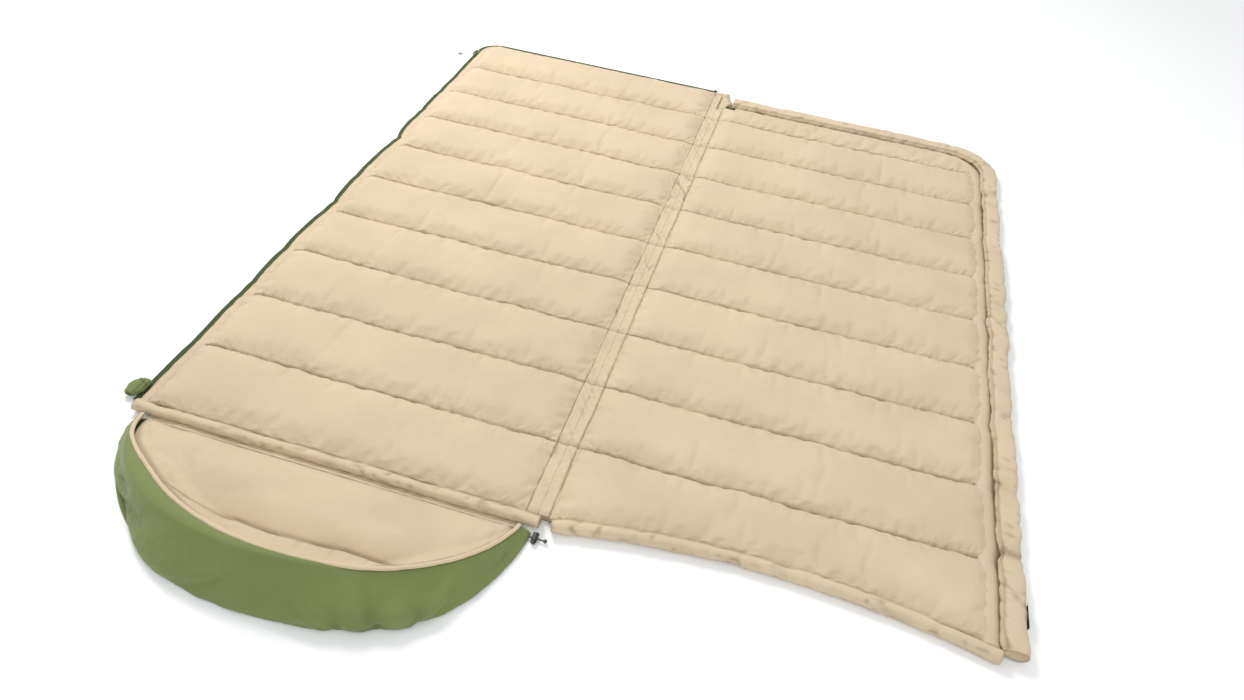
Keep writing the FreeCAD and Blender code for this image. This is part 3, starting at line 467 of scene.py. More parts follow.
def beads(path, length, gap, half_width, half_height, lean=0.0):
    """Small rounded bars in a row along a path: stitches, or the turns of a zip's coil."""
    places = spaced(path, gap)
    ahead = np.gradient(places, axis=0)
    ahead /= np.linalg.norm(ahead, axis=1)[:, None]
    side = np.cross(ahead, (0, 0, 1.0))
    side /= np.linalg.norm(side, axis=1)[:, None]
    up = np.cross(side, ahead)
    ahead, side = ahead + side * lean, side - ahead * lean
    rings = ((-1.0, 0.35), (-0.6, 1.0), (0.6, 1.0), (1.0, 0.35))
    turn = np.arange(6) * math.pi / 3
    verts = []
    for t, size in rings:
        for angle in turn:
            verts.append(
                places
                + ahead * (t * length / 2)
                + side * (math.cos(angle) * size * half_width)
                + up * (math.sin(angle) * size * half_height)
            )
    verts = np.stack(verts, axis=1)
    faces = []
    one = tube_faces(4, 6) + [[5, 4, 3, 2, 1, 0], [18, 19, 20, 21, 22, 23]]
    for n in range(len(places)):
        faces += [[v + n * 24 for v in face] for face in one]
    return verts.reshape(-1, 3), faces


def joined(parts):
    """Several meshes as one list of points and faces."""
    verts, faces, count = [], [], 0
    for points, polygons in parts:
        faces += [[v + count for v in face] for face in polygons]
        verts.append(points)
        count += len(points)
    return np.vstack(verts), faces


# ---------------------------------------------------------------- the quilt's plan

SPAN = HEAD_HIGH[0] - HEAD_LOW[0] - 0.006
BOW_X = (HEAD_HIGH[0] + HEAD_LOW[0]) / 2
TUBE_RADIUS = 0.014
BOW_RISE = 0.047
BOW_RADIUS = ((SPAN / 2) ** 2 + BOW_RISE**2) / (2 * BOW_RISE)
BOW_Y = NECK - TUBE_RADIUS + BOW_RISE - BOW_RADIUS
PLAN = {
    "under": {"side": -1, "foot": UNDER_HIGH[1], "corner": 0.040, "seed": 11},
    "over": {"side": 1, "foot": OVER_HIGH[1], "corner": 0.1015, "seed": 47},
}


def head_y(name, a):
    """Head edge of the quilting at a distance from the middle."""
    if name == "under":
        return np.full_like(a, START)
    return BOW_Y + np.sqrt((BOW_RADIUS + TUBE_RADIUS + 0.001) ** 2 - (a - BOW_X) ** 2)


def from_seam(y):
    """Distance from the nearest of the evenly spaced seams."""
    rows = (y - START) / PITCH
    return np.abs(rows - np.round(rows)) * PITCH


def edge_wave(name, y):
    """How far the zipped edge wanders from its straight line at y."""
    foot, seed = PLAN[name]["foot"], PLAN[name]["seed"]
    calm = step(y, START + 0.06, START + 0.22) * (1 - step(y, foot - 0.30, foot - 0.16))
    tuck = -0.003 * bell(from_seam(y), 0.022)
    kinks = 0.0
    for place, deep in ((0.02, 0.010), (0.40, 0.013), (0.59, 0.007), (-0.36, 0.006)):
        kinks = kinks - deep * np.exp(-np.abs(y - place) / 0.030) * (name == "under")
    swing = 0.0060 if name == "under" else 0.0030
    waves = swing * noise(y / 0.19, 0.5, seed) + 0.0018 * noise(y / 0.05, 0.5, seed + 1)
    return calm * (waves + tuck + kinks)


def edge_path(name, offset, low, stop, height, gap=0.006):
    """Path round the zipped edge and the foot, at an offset out of the quilting."""
    plan = PLAN[name]
    side, r = plan["side"], plan["corner"] + offset
    out, foot = OUTER + offset, plan["foot"] + offset
    middle = (OUTER - plan["corner"], plan["foot"] - plan["corner"])
    turn = np.linspace(0, math.pi / 2, 24)
    points = [[out, low]] + [[out, y] for y in np.arange(low + 0.01, middle[1], 0.01)]
    points += [[middle[0] + r * math.cos(t), middle[1] + r * math.sin(t)] for t in turn]
    points += [[x, foot] for x in np.arange(middle[0] - 0.01, stop, -0.01)] + [[stop, foot]]
    path = np.array([[x, y, height] for x, y in points])
    straight = path[:, 1] < middle[1]
    path[:, 0] += np.where(straight, edge_wave(name, path[:, 1]), 0)
    path[:, 0] *= side
    path = spaced(path, gap)
    return path, outwards(path, side)


def panel_rows(name, cell):
    """Heights of the rows in plan, and which of them are seams."""
    foot = PLAN[name]["foot"]
    seams = [START + PITCH * k for k in range(11)]
    seams = [y for y in seams if y < foot - 0.02] + [foot]
    rows, ties = [], []
    for k, (a, b) in enumerate(zip(seams, seams[1:])):
        count = max(int(round((b - a) / cell)), 8)
        t = np.arange(count) / count
        ties.append(len(rows))
        rows += [(k, value, a, b) for value in t - 0.6 * np.sin(2 * np.pi * t) / (2 * np.pi)]
    ties.append(len(rows))
    rows.append((len(seams) - 2, 1.0, seams[-2], seams[-1]))
    return rows, ties


def panel_grid(name, cell):
    """The panel's puffed surface before it is sewn: points, seam rows, and fades to its edges."""
    plan = PLAN[name]
    rows, ties = panel_rows(name, cell)
    columns = int(round((OUTER - FOLD) / cell)) + 1
    u = np.linspace(0, 1, columns)
    u = u - 0.5 * np.sin(2 * np.pi * u) / (2 * np.pi)
    channel = np.array([r[0] for r in rows])[:, None]
    t = np.array([r[1] for r in rows])[:, None]
    low = np.array([r[2] for r in rows])[:, None]
    high = np.array([r[3] for r in rows])[:, None]
    flat_y = low + (high - low) * t
    bend = np.clip(flat_y - (plan["foot"] - plan["corner"]), 0, plan["corner"])
    wide = OUTER - plan["corner"] + np.sqrt(plan["corner"] ** 2 - bend**2)
    a = FOLD + u[None, :] * (wide - FOLD)
    low = np.where(channel == 0, head_y(name, a), low)
    y = low + (high - low) * t
    width = high - low
    seed = plan["seed"]
    size = 1 + 0.06 * noise(channel * 3.7, a / 0.35, seed + 2)
    rise = (CROWN - VALLEY) * size * np.clip(0.35 + 0.65 * width / PITCH, 0, 1)
    puff = 0.22 * (1 - (2 * t - 1) ** 2) + 0.78 * (1 - np.abs(2 * t - 1) ** 9) ** 0.75
    fold_end = (BAND - VALLEY) / (CROWN - VALLEY)
    fold_end = fold_end + (1 - fold_end) * (1 - (1 - np.clip((a - FOLD) / 0.055, 0, 1)) ** 2.2)
    out_end = 1 - (1 - np.clip((wide - a) / 0.045, 0, 1)) ** 2.2
    if name == "over":
        out_end = 0.30 + 0.70 * out_end
    z = VALLEY + puff * rise * fold_end * out_end
    z -= (0.004 if name == "under" else 0.001) * (1 - np.clip((wide - a) / 0.03, 0, 1))
    inside = step(a - FOLD, 0.0, 0.05) * step(wide - a, 0.0, 0.04)
    inside = inside * step(y - head_y(name, a), 0, 0.03) * step(plan["foot"] - y, 0, 0.05)
    row_seed = np.round((y - START) / PITCH)
    sway = 0.0035 * noise(a / 0.13, row_seed * 5.3, seed + 3)
    sway = sway + 0.0012 * noise(a / 0.03, row_seed * 9.1, seed + 4)
    y = y + inside * sway
    lumps = 0.0012 * noise(a / 0.09, y / 0.10, seed + 5) + 0.0007 * noise(a / 0.022, y / 0.07, seed + 6)
    z = z + inside * puff * lumps
    shift = edge_wave(name, y) * step(a, 0.66, OUTER)
    x = (a + np.where(y < plan["foot"] - plan["corner"], shift, 0)) * plan["side"]
    return np.stack([x, y + 0 * a, z], axis=2), ties


def sewn(name, grid, ties, frames=20, cap=0.006):
    """Blows a slack cloth up between its sewn rows and edges, and caps how far it moves."""
    rows, columns, _ = grid.shape
    flat = grid.reshape(-1, 3)
    body = piece(name, flat, grid_faces(rows, columns, 0, "under" in name), TAN)
    pins = body.vertex_groups.new(name="sewn")
    held = np.zeros((rows, columns), bool)
    held[ties, :] = held[[0, -1], :] = held[:, [0, -1]] = True
    pins.add(np.flatnonzero(held.ravel()).tolist(), 1.0, "REPLACE")
    cloth = body.modifiers.new("cloth", "CLOTH")
    s = cloth.settings
    s.quality, s.mass, s.air_damping = 6, 0.12, 2.0
    s.tension_stiffness, s.compression_stiffness, s.shear_stiffness = 25, 25, 8
    s.bending_stiffness = 0.25
    s.shrink_min = s.shrink_max = -0.014
    s.use_pressure, s.uniform_pressure_force = True, 3.0
    s.vertex_group_mass = "sewn"
    s.effector_weights.gravity = 0
    cloth.point_cache.frame_start, cloth.point_cache.frame_end = 1, frames
    cloth.collision_settings.use_collision = False
    scene = bpy.context.scene
    for at in range(1, frames + 1):
        scene.frame_set(at)
    ready = body.evaluated_get(bpy.context.evaluated_depsgraph_get())
    moved = np.empty(len(flat) * 3)
    ready.data.vertices.foreach_get("co", moved)
    moved = moved.reshape(-1, 3)
    shift = moved - flat
    far = np.linalg.norm(shift, axis=1)
    print(name, "cloth moved", float(far.max()), "mean", float(far.mean()))
    soft = cap * np.tanh(far / cap) / np.maximum(far, 1e-9)
    bpy.data.objects.remove(body)
    scene.frame_set(1)
    return (flat + shift * soft[:, None]).reshape(grid.shape)


def seam_folds(name, grid, ties):
    """Adds puckers beside each seam to a grid; returns the shade painted into each point's fold."""
    seed = PLAN[name]["seed"]
    a, y = np.abs(grid[:, :, 0]), grid[:, :, 1]
    crease_depth_and_shade = np.zeros(y.shape)
    for k, tie in enumerate(ties):
        gap = np.abs(y - y[tie][None, :])
        side_of = np.sign(y - y[tie][None, :])
        fade = 1 - 0.65 * step(a, 0.45, 0.75) * step(y, -0.5, 0.2) * (name == "over")
        pucker = np.exp(-gap / 0.0085) * (1 - np.exp(-gap / 0.0015)) * (0.65 + 0.35 * side_of)
        fan = noise(a / 0.0075 - side_of * gap * 25, k * 7.3, seed + 7)
        fan = fan + 0.7 * noise(a / 0.022, k * 3.1, seed + 8)
        grid[:, :, 2] += 0.0021 * pucker * fan * (1.4 - 0.4 * fade)
        if tie in ties[1:-1]:
            grid[:, :, 2] -= 0.0028 * fade * bell(gap, 0.0024)
            # painted shade: a thin dark line along each seam, and dark dashes in the puckers beside it where
            # shadow falls
            strong = np.clip(0.55 + 0.75 * noise(a / 0.07, k * 2.7, seed + 15), 0.12, 1) * fade
            crease_depth_and_shade = np.maximum(crease_depth_and_shade, strong * bell(gap, 0.0019))
            dashes = np.clip(noise(a / 0.0055 - side_of * gap * 30, k * 4.9, seed + 16) - 0.30, 0, 1)
            crease_depth_and_shade = np.maximum(crease_depth_and_shade, 0.95 * dashes * np.exp(-gap / 0.0065) * (0.6 + 0.4 * side_of))
    return crease_depth_and_shade


def edge_folds(name, grid, crease_depth_and_shade):
    """Adds crimps along the fold and the zipped edge to a grid, and their painted shade to the shade of its
    folds.
    """
    seed = PLAN[name]["seed"]
    a, y = np.abs(grid[:, :, 0]), grid[:, :, 1]
    edges = ((a - FOLD, 0.03, 0.30), (OUTER - a, 0.022, 0.45 if name == "under" else 0.0))
    for start, reach, painted_shade in edges:
        near = np.clip(start, 0, 1)
        crimp = np.exp(-near / reach) * (1 - np.exp(-near / 0.004))
        folds = noise(y / 0.012 + start * 20, 0.5, seed + 9)
        grid[:, :, 2] += 0.0017 * crimp * folds
        # painted shade: a dark line along each edge, and dark hollows in the crimps near it
        line = painted_shade * bell(near, 0.0026) * (0.6 + 0.4 * noise(y / 0.02, 0.5, seed + 17))
        crease_depth_and_shade = np.maximum(crease_depth_and_shade, line + 0.55 * np.clip(-folds - 0.25, 0, 1) * np.exp(-near / 0.016))
    return crease_depth_and_shade


def panel_shell(name):
    """The outer cloth under a panel, drawn up at each seam."""
    seed = PLAN[name]["seed"]
    shell, ties = panel_grid(name, 0.012)
    x, y = np.abs(shell[:, :, 0]), shell[:, :, 1]
    low = np.zeros(y.shape)
    for tie in ties[1:-1]:
        gap = np.abs(y - y[tie][None, :])
        ruffle = 0.0008 * np.exp(-gap / 0.02) * noise(shell[:, :, 0] / 0.02, tie, seed)
        low += 0.0036 * bell(gap, 0.012) + ruffle
    edge = np.minimum(x - FOLD, OUTER - x)
    low = np.clip(low, 0, 0.0042) + 0.0035 * np.exp(-np.clip(edge, 0, 1) / 0.008)
    under, upper = shell.copy(), shell.copy()
    under[:, :, 2], upper[:, :, 2] = low, low + 0.0011
    verts, faces = two_skins(under, upper, PLAN[name]["side"] < 0)
    piece(f"{name}_shell", verts, faces, GREEN, f"{name}_panel", [f"{name}_outer_shell"])


def quilted_panel(name):
    """A panel's puffed lining with its stitched seams, and its outer cloth."""
    side, body = PLAN[name]["side"], f"{name}_panel"
    grid, ties = panel_grid(name, 0.0072)
    grid = finer(sewn(f"{name}_cloth", grid, ties))
    ties = [2 * k for k in ties]
    crease_depth_and_shade = seam_folds(name, grid, ties)
    crease_depth_and_shade = edge_folds(name, grid, crease_depth_and_shade)
    soft, top = 0.027, 0.0318
    over = np.clip(grid[:, :, 2] - soft, 0, None)
    grid[:, :, 2] = np.minimum(grid[:, :, 2], soft) + (top - soft) * np.tanh(over / (top - soft))
    verts, faces = closed_pad(grid, 0.0055, side < 0)
    nodes = [f"{name}_lining", f"{name}_wadding"]
    pad = piece(f"{name}_quilting", verts, faces, TAN, body, nodes, crease_depth_and_shade)
    rows_made = []
    for tie in ties[1:-1]:
        line = spaced(grid[tie, 6:-6] + (0, 0, 0.0004), 0.0045)
        rows_made.append(beads(line, 0.0034, 0.0045, 0.0004, 0.00035))
    verts, faces = joined(rows_made)
    piece(f"{name}_seam_stitches", verts, faces, THREAD, body, [f"{name}_quilting_thread"])
    panel_shell(name)


for panel in PLAN:
    quilted_panel(panel)


# ---------------------------------------------------------------- fold band


def band_top(side, foot, y):
    """Top of one half of the band, crinkled, with its sewn line; and the shade painted in its folds."""
    a = np.concatenate([np.linspace(0, 0.018, 8), np.linspace(0.0195, 0.0315, 13)])
    aa, yy = np.meshgrid(a, y)
    line = 0.0235 + 0.0022 * noise(yy / 0.07, 0.5, 5 + side)
    near_seam = from_seam(yy)
    skew = noise((yy + side * aa * 1.6) / 0.021, aa / 0.04, 21)
    fine = noise((yy - side * aa * 0.9) / 0.008, aa / 0.03, 22)
    z = BAND + 0.0012 + 0.0026 * skew * (1 - step(aa, 0.020, 0.031)) + 0.0008 * fine
    z -= 0.0030 * bell(aa - line, 0.0018) + 0.0045 * bell(near_seam, 0.007)
    z += 0.0014 * bell(aa - line + 0.005, 0.004) * (0.6 + noise(yy / 0.014, 0.5, 7 + side))
    z -= 0.0030 * step(aa, 0.027, 0.0315)
    # painted shade along the sewn line, in the slanting creases and where each seam meets the band
    strong = np.clip(0.35 + 0.6 * noise(yy / 0.035, 0.5, 23), 0.08, 0.8)
    crease_depth_and_shade = strong * bell(aa - line, 0.0014)
    slant = bell(skew, 0.09) * np.clip(noise(yy / 0.05, aa / 0.03, 24) + 0.25, 0, 1)
    crease_depth_and_shade = np.maximum(crease_depth_and_shade, 0.75 * slant)
    crease_depth_and_shade = np.maximum(crease_depth_and_shade, 0.65 * bell(near_seam, 0.0022))
    past_foot = step(yy, foot - 0.03, foot + 0.004)
    z = z * (1 - past_foot) + 0.0082 * past_foot
    flare = 1 + (0.85 if side > 0 else 0.0) * bell(yy - foot - 0.055, 0.022)
    wide = np.where(yy > foot - 0.004, np.minimum(aa, 0.0245) * flare, aa)
    z = z + (flare - 1) * 0.004 * noise(yy / 0.009, aa / 0.008, 25)
    return np.stack([wide * side, yy, z], axis=2), crease_depth_and_shade


def band_shell(side, foot, y):
    """The outer cloth under one half of the band, grooved along its sewn line."""
    aa, yy = np.meshgrid(np.linspace(0, 0.030, 9), y[::2])
    wide = np.where(yy > foot - 0.004, np.minimum(aa, 0.0245), aa)
    groove = 0.0014 * bell(aa - 0.024, 0.003) + 0.0003 + 0.0003 * noise(yy / 0.02, aa / 0.02, 31)
    under = np.stack([wide * side, yy, groove - 0.0003], axis=2)
    return two_skins(under, under + (0, 0, 0.0012), side < 0)


def fold_band():
    """The unpadded strip between the panels, in two halves, one on each side of the middle."""
    low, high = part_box("fold_lining_strip")
    y = np.arange(low[1], high[1] + 0.001, 0.0034)
    y = np.append(y[y < high[1] - 0.002], high[1])
    nodes = ("fold_lining_strip", "fold_wadding_strip")
    for word, plan in PLAN.items():
        side = plan["side"]
        top, crease_depth_and_shade = band_top(side, plan["foot"], y)
        verts, faces = closed_pad(top, 0.0016, side < 0)
        band = piece(f"fold_band_lining_{word}", verts, faces, TAN, None, nodes, crease_depth_and_shade)
        verts, faces = band_shell(side, plan["foot"], y)
        skin = piece(
            f"fold_band_shell_{word}", verts, faces, GREEN, None, ["fold_outer_strip"]
        )
        for half in (band, skin):
            if side < 0:
                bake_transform(half)
            else:
                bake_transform(half)


fold_band()


# ---------------------------------------------------------------- zip


def facing(name):
    """The puckered strip of lining that the zip's tape is sewn to."""
    seed = PLAN[name]["seed"]
    path, normal = edge_path(name, 0.0, START, FOLD, 0.0, 0.004)
    s = along(path)[:, None]
    upper_side = [(-0.006, 0.0040), (-0.005, 0.0072), (-0.001, 0.0078), (0.004, 0.0060), (0.009, 0.0078)]
    hem = [(0.014, 0.0072), (0.0175, 0.0058), (0.0200, 0.0046), (0.0198, 0.0024), (0.017, 0.0008)]
    section = np.array(upper_side + hem + [(0.008, 0.0004), (0.000, 0.0006)])
    ring = np.repeat(section[None], len(path), axis=0)
    upper = np.array([0, 1, 1, 0.7, 1, 1, 0.7, 0.3, 0.1, 0, 0, 0])[None, :]
    puckers = 0.0017 * noise(s / 0.010 + section[None, :, 0] * 40, 0.5, seed + 12)
    ring[:, :, 1] += upper * (puckers + 0.0010 * noise(s / 0.03, 0.5, seed + 13))
    ring[:, :, 0] += 0.0010 * noise(s / 0.016, 0.5, seed + 14) * (section[None, :, 0] > 0.012)
    verts, faces = sweep_mesh(path, normal, ring, 0.001)
    piece(f"{name}_facing", verts, faces, TAN, f"{name}_panel", [f"{name}_zip_facing"])
    line, _ = edge_path(name, 0.0165, START + 0.01, FOLD + 0.01, 0.0066, 0.004)
    verts, faces = beads(line, 0.0030, 0.0040, 0.0003, 0.0003)
    made = piece(f"{name}_facing_stitches", verts, faces, THREAD, f"{name}_panel")


def zip_chain(name):
    """Woven tape with a rolled edge, and the turns of half a coil on its core."""
    body = f"{name}_panel"
    low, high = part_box(f"{name}_zip_tape")
    middle = (low[2] + high[2]) / 2
    path, normal = edge_path(name, FACING, START + 0.001, FOLD, middle, 0.005)
    upper_side = [(-0.002, 0.0002), (0.003, 0.0003), (0.0095, 0.0003), (0.0112, 0.0009)]
    lower_side = [(0.0112, -0.0009), (0.0095, -0.0003), (0.003, -0.0003), (-0.002, -0.0003)]
    section = np.array(upper_side + lower_side)
    ring = np.repeat(section[None], len(path), axis=0)
    verts, faces = sweep_mesh(path, normal, ring, 0.0004)
    piece(f"{name}_tape", verts, faces, TAPE, body, [f"{name}_zip_tape"])
    coil_low, coil_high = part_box(f"{name}_zip_coil")
    offset = FACING + 0.010 + 0.00175
    first, last = coil_low[1] + 0.001, FOLD + 0.0125
    height = (coil_low[2] + coil_high[2]) / 2
    core, normal = edge_path(name, offset - 0.0004, first, last, height, 0.004)
    turn = np.arange(8) * math.pi / 4
    ring = np.stack([0.0009 * np.cos(turn), 0.0008 * np.sin(turn)], axis=1)
    made = [sweep_mesh(core, normal, np.repeat(ring[None], len(core), axis=0), 0.0002)]
    line, _ = edge_path(name, offset, first + 0.0008, last + 0.0008, height, 0.003)
    made.append(beads(line, 0.0012, 0.0020, 0.00172, 0.00148, 0.18))
    verts, faces = joined(made)
    piece(f"{name}_coil", verts, faces, NYLON, body, [f"{name}_zip_coil"])


for panel in PLAN:
    facing(panel)
    zip_chain(panel)


# ---------------------------------------------------------------- stuffed tubes


def stuffed_tube(name, path, side, wide, tall, body, nodes, seed, seam_at, material=TAN_LIGHT, droop=0.0):
    """A soft tube with a flattened foot, cross wrinkles, pinches and a sewn seam along it."""
    path = spaced(path, 0.0045)
    normal = outwards(path, side)
    s = along(path)[:, None]
    turn = (np.arange(28) * 2 * math.pi / 28)[None, :]
    skew = s / 0.013 + 0.9 * np.sin(turn + 0.5)
    wrinkle = noise(skew, turn * 1.3, seed) + 0.7 * noise(s / 0.030, turn * 0.9, seed + 1)
    pinch = np.clip(noise(s / 0.050, turn * 0.35, seed + 2) - 0.2, 0, 1)
    bend = np.linalg.norm(np.gradient(np.gradient(path[:, :2], axis=0), axis=0), axis=1)[:, None]
    corner = bell(s - s[np.argmax(bend)] - 0.02, 0.010) * (bend.max() > 1e-4) * (droop > 0)
    rings = np.clip(noise(s / 0.024 + 0.25 * np.sin(turn * 2), 0.5, seed + 5) - 0.35, 0, 1)
    size = 1 + 0.065 * wrinkle - 0.28 * pinch + 0.07 * noise(s / 0.14, 0.5, seed + 3)
    size = size - 0.20 * rings - 0.22 * corner
    dent = np.exp(-(((turn - seam_at + math.pi) % (2 * math.pi) - math.pi) / 0.16) ** 2)
    size = size - 0.11 * dent * (1 + 0.5 * noise(s / 0.012, 0.5, seed + 4))
    across = np.sign(np.cos(turn)) * np.abs(np.cos(turn)) ** 0.85 * wide / 2 * size
    up = np.sign(np.sin(turn)) * np.abs(np.sin(turn)) ** 0.9 * tall / 2 * size
    up = np.maximum(up, -tall / 2 + 0.0006)
    if droop:
        full, spare = 0.0085, 0.0036  # the crown flattens, so that the folded panels clear each other
        up = np.where(up > full, full + spare * np.tanh((up - full) / spare), up)
    up = up - droop * step(across, -0.006, 0.004) * (1 - step(up, -0.008, 0.006))
    ring = np.stack([across, up], axis=2)
    verts, faces = sweep_mesh(path, normal, ring, 0.016)
    # painted shade in the seam's dent, the wrinkles' hollows, the pinches, the rings and the corner
    crease_depth_and_shade = 0.60 * dent + 0.9 * np.clip(-noise(skew, turn * 1.3, seed) - 0.35, 0, 1) + 0.5 * pinch**2
    crease_depth_and_shade = crease_depth_and_shade + 0.5 * np.clip(rings - 0.15, 0, 1) + 0.7 * corner
    made = piece(name, verts, faces, material, body, nodes, crease_depth_and_shade)
    row = path + normal * (wide / 2 * 0.86 * math.cos(seam_at)) + (0, 0, tall / 2 * 0.9 * math.sin(seam_at))
    verts, faces = beads(row[3:-3], 0.0032, 0.0046, 0.0004, 0.0004)
    stitches = piece(f"{name}_stitches", verts, faces, THREAD, body)


def draft_flap():
    """The strip that sews the draft tube down over the zip's facing and tape."""
    path, normal = edge_path("over", 0.0, START, 0.064, 0.0, 0.004)
    s = along(path)[:, None]
    upper_side = [(-0.020, 0.0150), (-0.012, 0.0190), (-0.004, 0.0196), (0.004, 0.0186), (0.011, 0.0160)]
    root = [(0.018, 0.0110), (0.031, 0.0096), (0.031, 0.0082), (0.022, 0.0084)]
    section = np.array(upper_side + root + [(0.008, 0.0086), (-0.010, 0.0092)])
    ring = np.repeat(section[None], len(path), axis=0)
    upper = np.array([0.2, 0.7, 1, 1, 1, 0.5, 0, 0, 0, 0, 0])[None, :]
    ring[:, :, 1] += upper * 0.0016 * noise(s / 0.010 + section[None, :, 0] * 50, 0.5, 55)
    verts, faces = sweep_mesh(path, normal, ring, 0.001)
    # painted shade at the flap's root, where it runs into the gap under the draft tube
    crease_depth_and_shade = np.array([[0, 0, 0, 0, 0.15, 0.9, 1, 1, 0.5, 0, 0]]) * (0.8 + 0.2 * noise(s / 0.05, 0.5, 56))
    made = piece("draft_tube_flap", verts, faces, TAN, "over_panel", (), crease_depth_and_shade)


def draft_tube():
    """The fat tube round the zipped edge, which sways, and droops to the ground."""
    draft_flap()
    low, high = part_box("draft_tube_casing")
    tall = high[2] - low[2]
    offset = FACING + 0.0215
    path, _ = edge_path("over", offset, NECK - 0.005, 0.050, low[2] + tall / 2)
    s = along(path)
    sway = 0.005 * noise(s / 0.15, 0.5, 61) * step(s, 0.05, 0.2) * (1 - step(s, s[-1] - 0.2, s[-1] - 0.05))
    path += outwards(path, 1) * sway[:, None]
    nodes = ["draft_tube_casing", "draft_tube_filling"]
    droop = low[2] - 0.0008
    stuffed_tube(
        "draft_tube", path, 1, 0.051, tall + 0.001, "over_panel", nodes, 71, math.pi * 0.82, droop=droop
    )


def neck_tubes():
    """The collar tube, and the head tube on its shallow arc."""
    y = NECK - TUBE_RADIUS
    left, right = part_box("collar_tube_filling")
    x = np.linspace(left[0] + 0.001, right[0], 60)
    sway = 0.0025 * noise(x / 0.12, 0.5, 63)
    path = np.stack([x, y + sway, np.full_like(x, TUBE_RADIUS - 0.001)], axis=1)
    nodes = ["collar_tube_casing", "collar_tube_filling"]
    stuffed_tube("collar_tube", path, 1, 0.025, 0.0225, "under_panel", nodes, 73, math.pi * 0.70)
    half = math.asin(SPAN / 2 / BOW_RADIUS)
    turn = np.linspace(half, -half, 60)
    x, y = BOW_X - BOW_RADIUS * np.sin(turn), BOW_Y + BOW_RADIUS * np.cos(turn)
    path = np.stack([x, y, np.full_like(x, TUBE_RADIUS)], axis=1)
    nodes = ["head_tube_casing", "head_tube_filling"]
    stuffed_tube("head_tube", path, 1, 0.027, 0.026, "over_panel", nodes, 79, math.pi * 0.70)


draft_tube()
neck_tubes()


# ---------------------------------------------------------------- hood

HOOD_X, HOOD_Y = -0.435, NECK - 0.034
HOOD_A, HOOD_B = 0.432, 0.322
LEAN = 0.092 / 0.130


def rim(theta):
    """Height of the wall's rim at an angle round the hood."""
    height = np.full_like(theta, 0.05)
    for _ in range(30):
        height = 0.017 + 0.27 * (np.sin(theta) * (HOOD_B - LEAN * height) - 0.001)
    return height


def hood_ring(theta, height, inset):
    """Plan position on the hood's leaning wall."""
    x = HOOD_X + (HOOD_A - LEAN * height - inset) * np.cos(theta)
    y = HOOD_Y - (HOOD_B - LEAN * height - inset) * np.sin(theta)
    return x, y


def hood_roll(theta):
    """How far the wall's top rolls in over the lining, most at the left."""
    places = (0.0, 0.95, 1.30, 1.70, 2.15, 2.48, 2.72, 2.92, 3.14)
    reach = (0.0, 0.0, 0.010, 0.018, 0.029, 0.035, 0.024, 0.0, 0.0)
    near = [np.interp(theta + shift, places, reach) for shift in np.linspace(-0.12, 0.12, 7)]
    return np.mean(near, axis=0)


WALL_FOOT = ((0.034, 0.0008), (0.022, 0.0008), (0.010, 0.0008), (0.003, 0.0022))  # inset and height
WALL_RIM = (  # inset, share of the hump and share of the roll, from the outside to the inside
    (0.0035, 0.6, 0.0),
    (0.0070, 1.0, 0.02),
    (0.0085, 1.0, 0.35),
    (0.0085, 0.75, 0.70),
    (0.0085, 0.2, 1.0),
)


def wall_side(theta, tall, scale, bulge, level):
    """One row of the wall's outer side, with its folds and gathers: inset, height and the shade painted in
    its folds.
    """
    gather = bell(theta - 0.97, 0.040) + 0.7 * bell(theta - 1.13, 0.030)
    gather = gather + 0.6 * bell(theta - 0.80, 0.030)
    spread = bell(theta - 1.0, 0.30)
    swell = np.sin(math.pi * level**0.75)
    slant = theta + 0.35 * (level - 0.5)
    dents = noise(slant / 0.075, level * 2.2, 81)
    folds = 0.0046 * dents + 0.0080 * noise(slant / 0.19, level * 1.8, 82)
    folds = folds + 0.0012 * noise(theta / 0.022, level * 6, 80)
    fan = noise((theta - 1.0) / (0.020 + 0.035 * level), level * 1.5, 83)
    pull = 0.013 * gather * (1 - level) ** 0.7 + 0.0045 * spread * (1 - level) * fan
    puffed = (0.008 + bulge) * swell + 1.3 * folds * swell * (1 - 0.3 * level)
    inset = -puffed * scale + pull * swell
    inset = inset + 0.001 - 0.7 * bulge * (1 - level) ** 2
    z = np.maximum(level * tall, 0.0012) + 0.005 * gather * (1 - level)
    # painted shade in the hollows of the gathers and folds, stronger towards the wall's foot, and in the
    # dents up the side
    painted_shade = (np.clip(-fan - 0.35, 0, 1) * spread + 0.5 * gather) * (1 - level) ** 1.5
    return inset, z, painted_shade + 0.30 * np.clip(-dents - 0.30, 0, 1) * swell * (theta < 2.8)


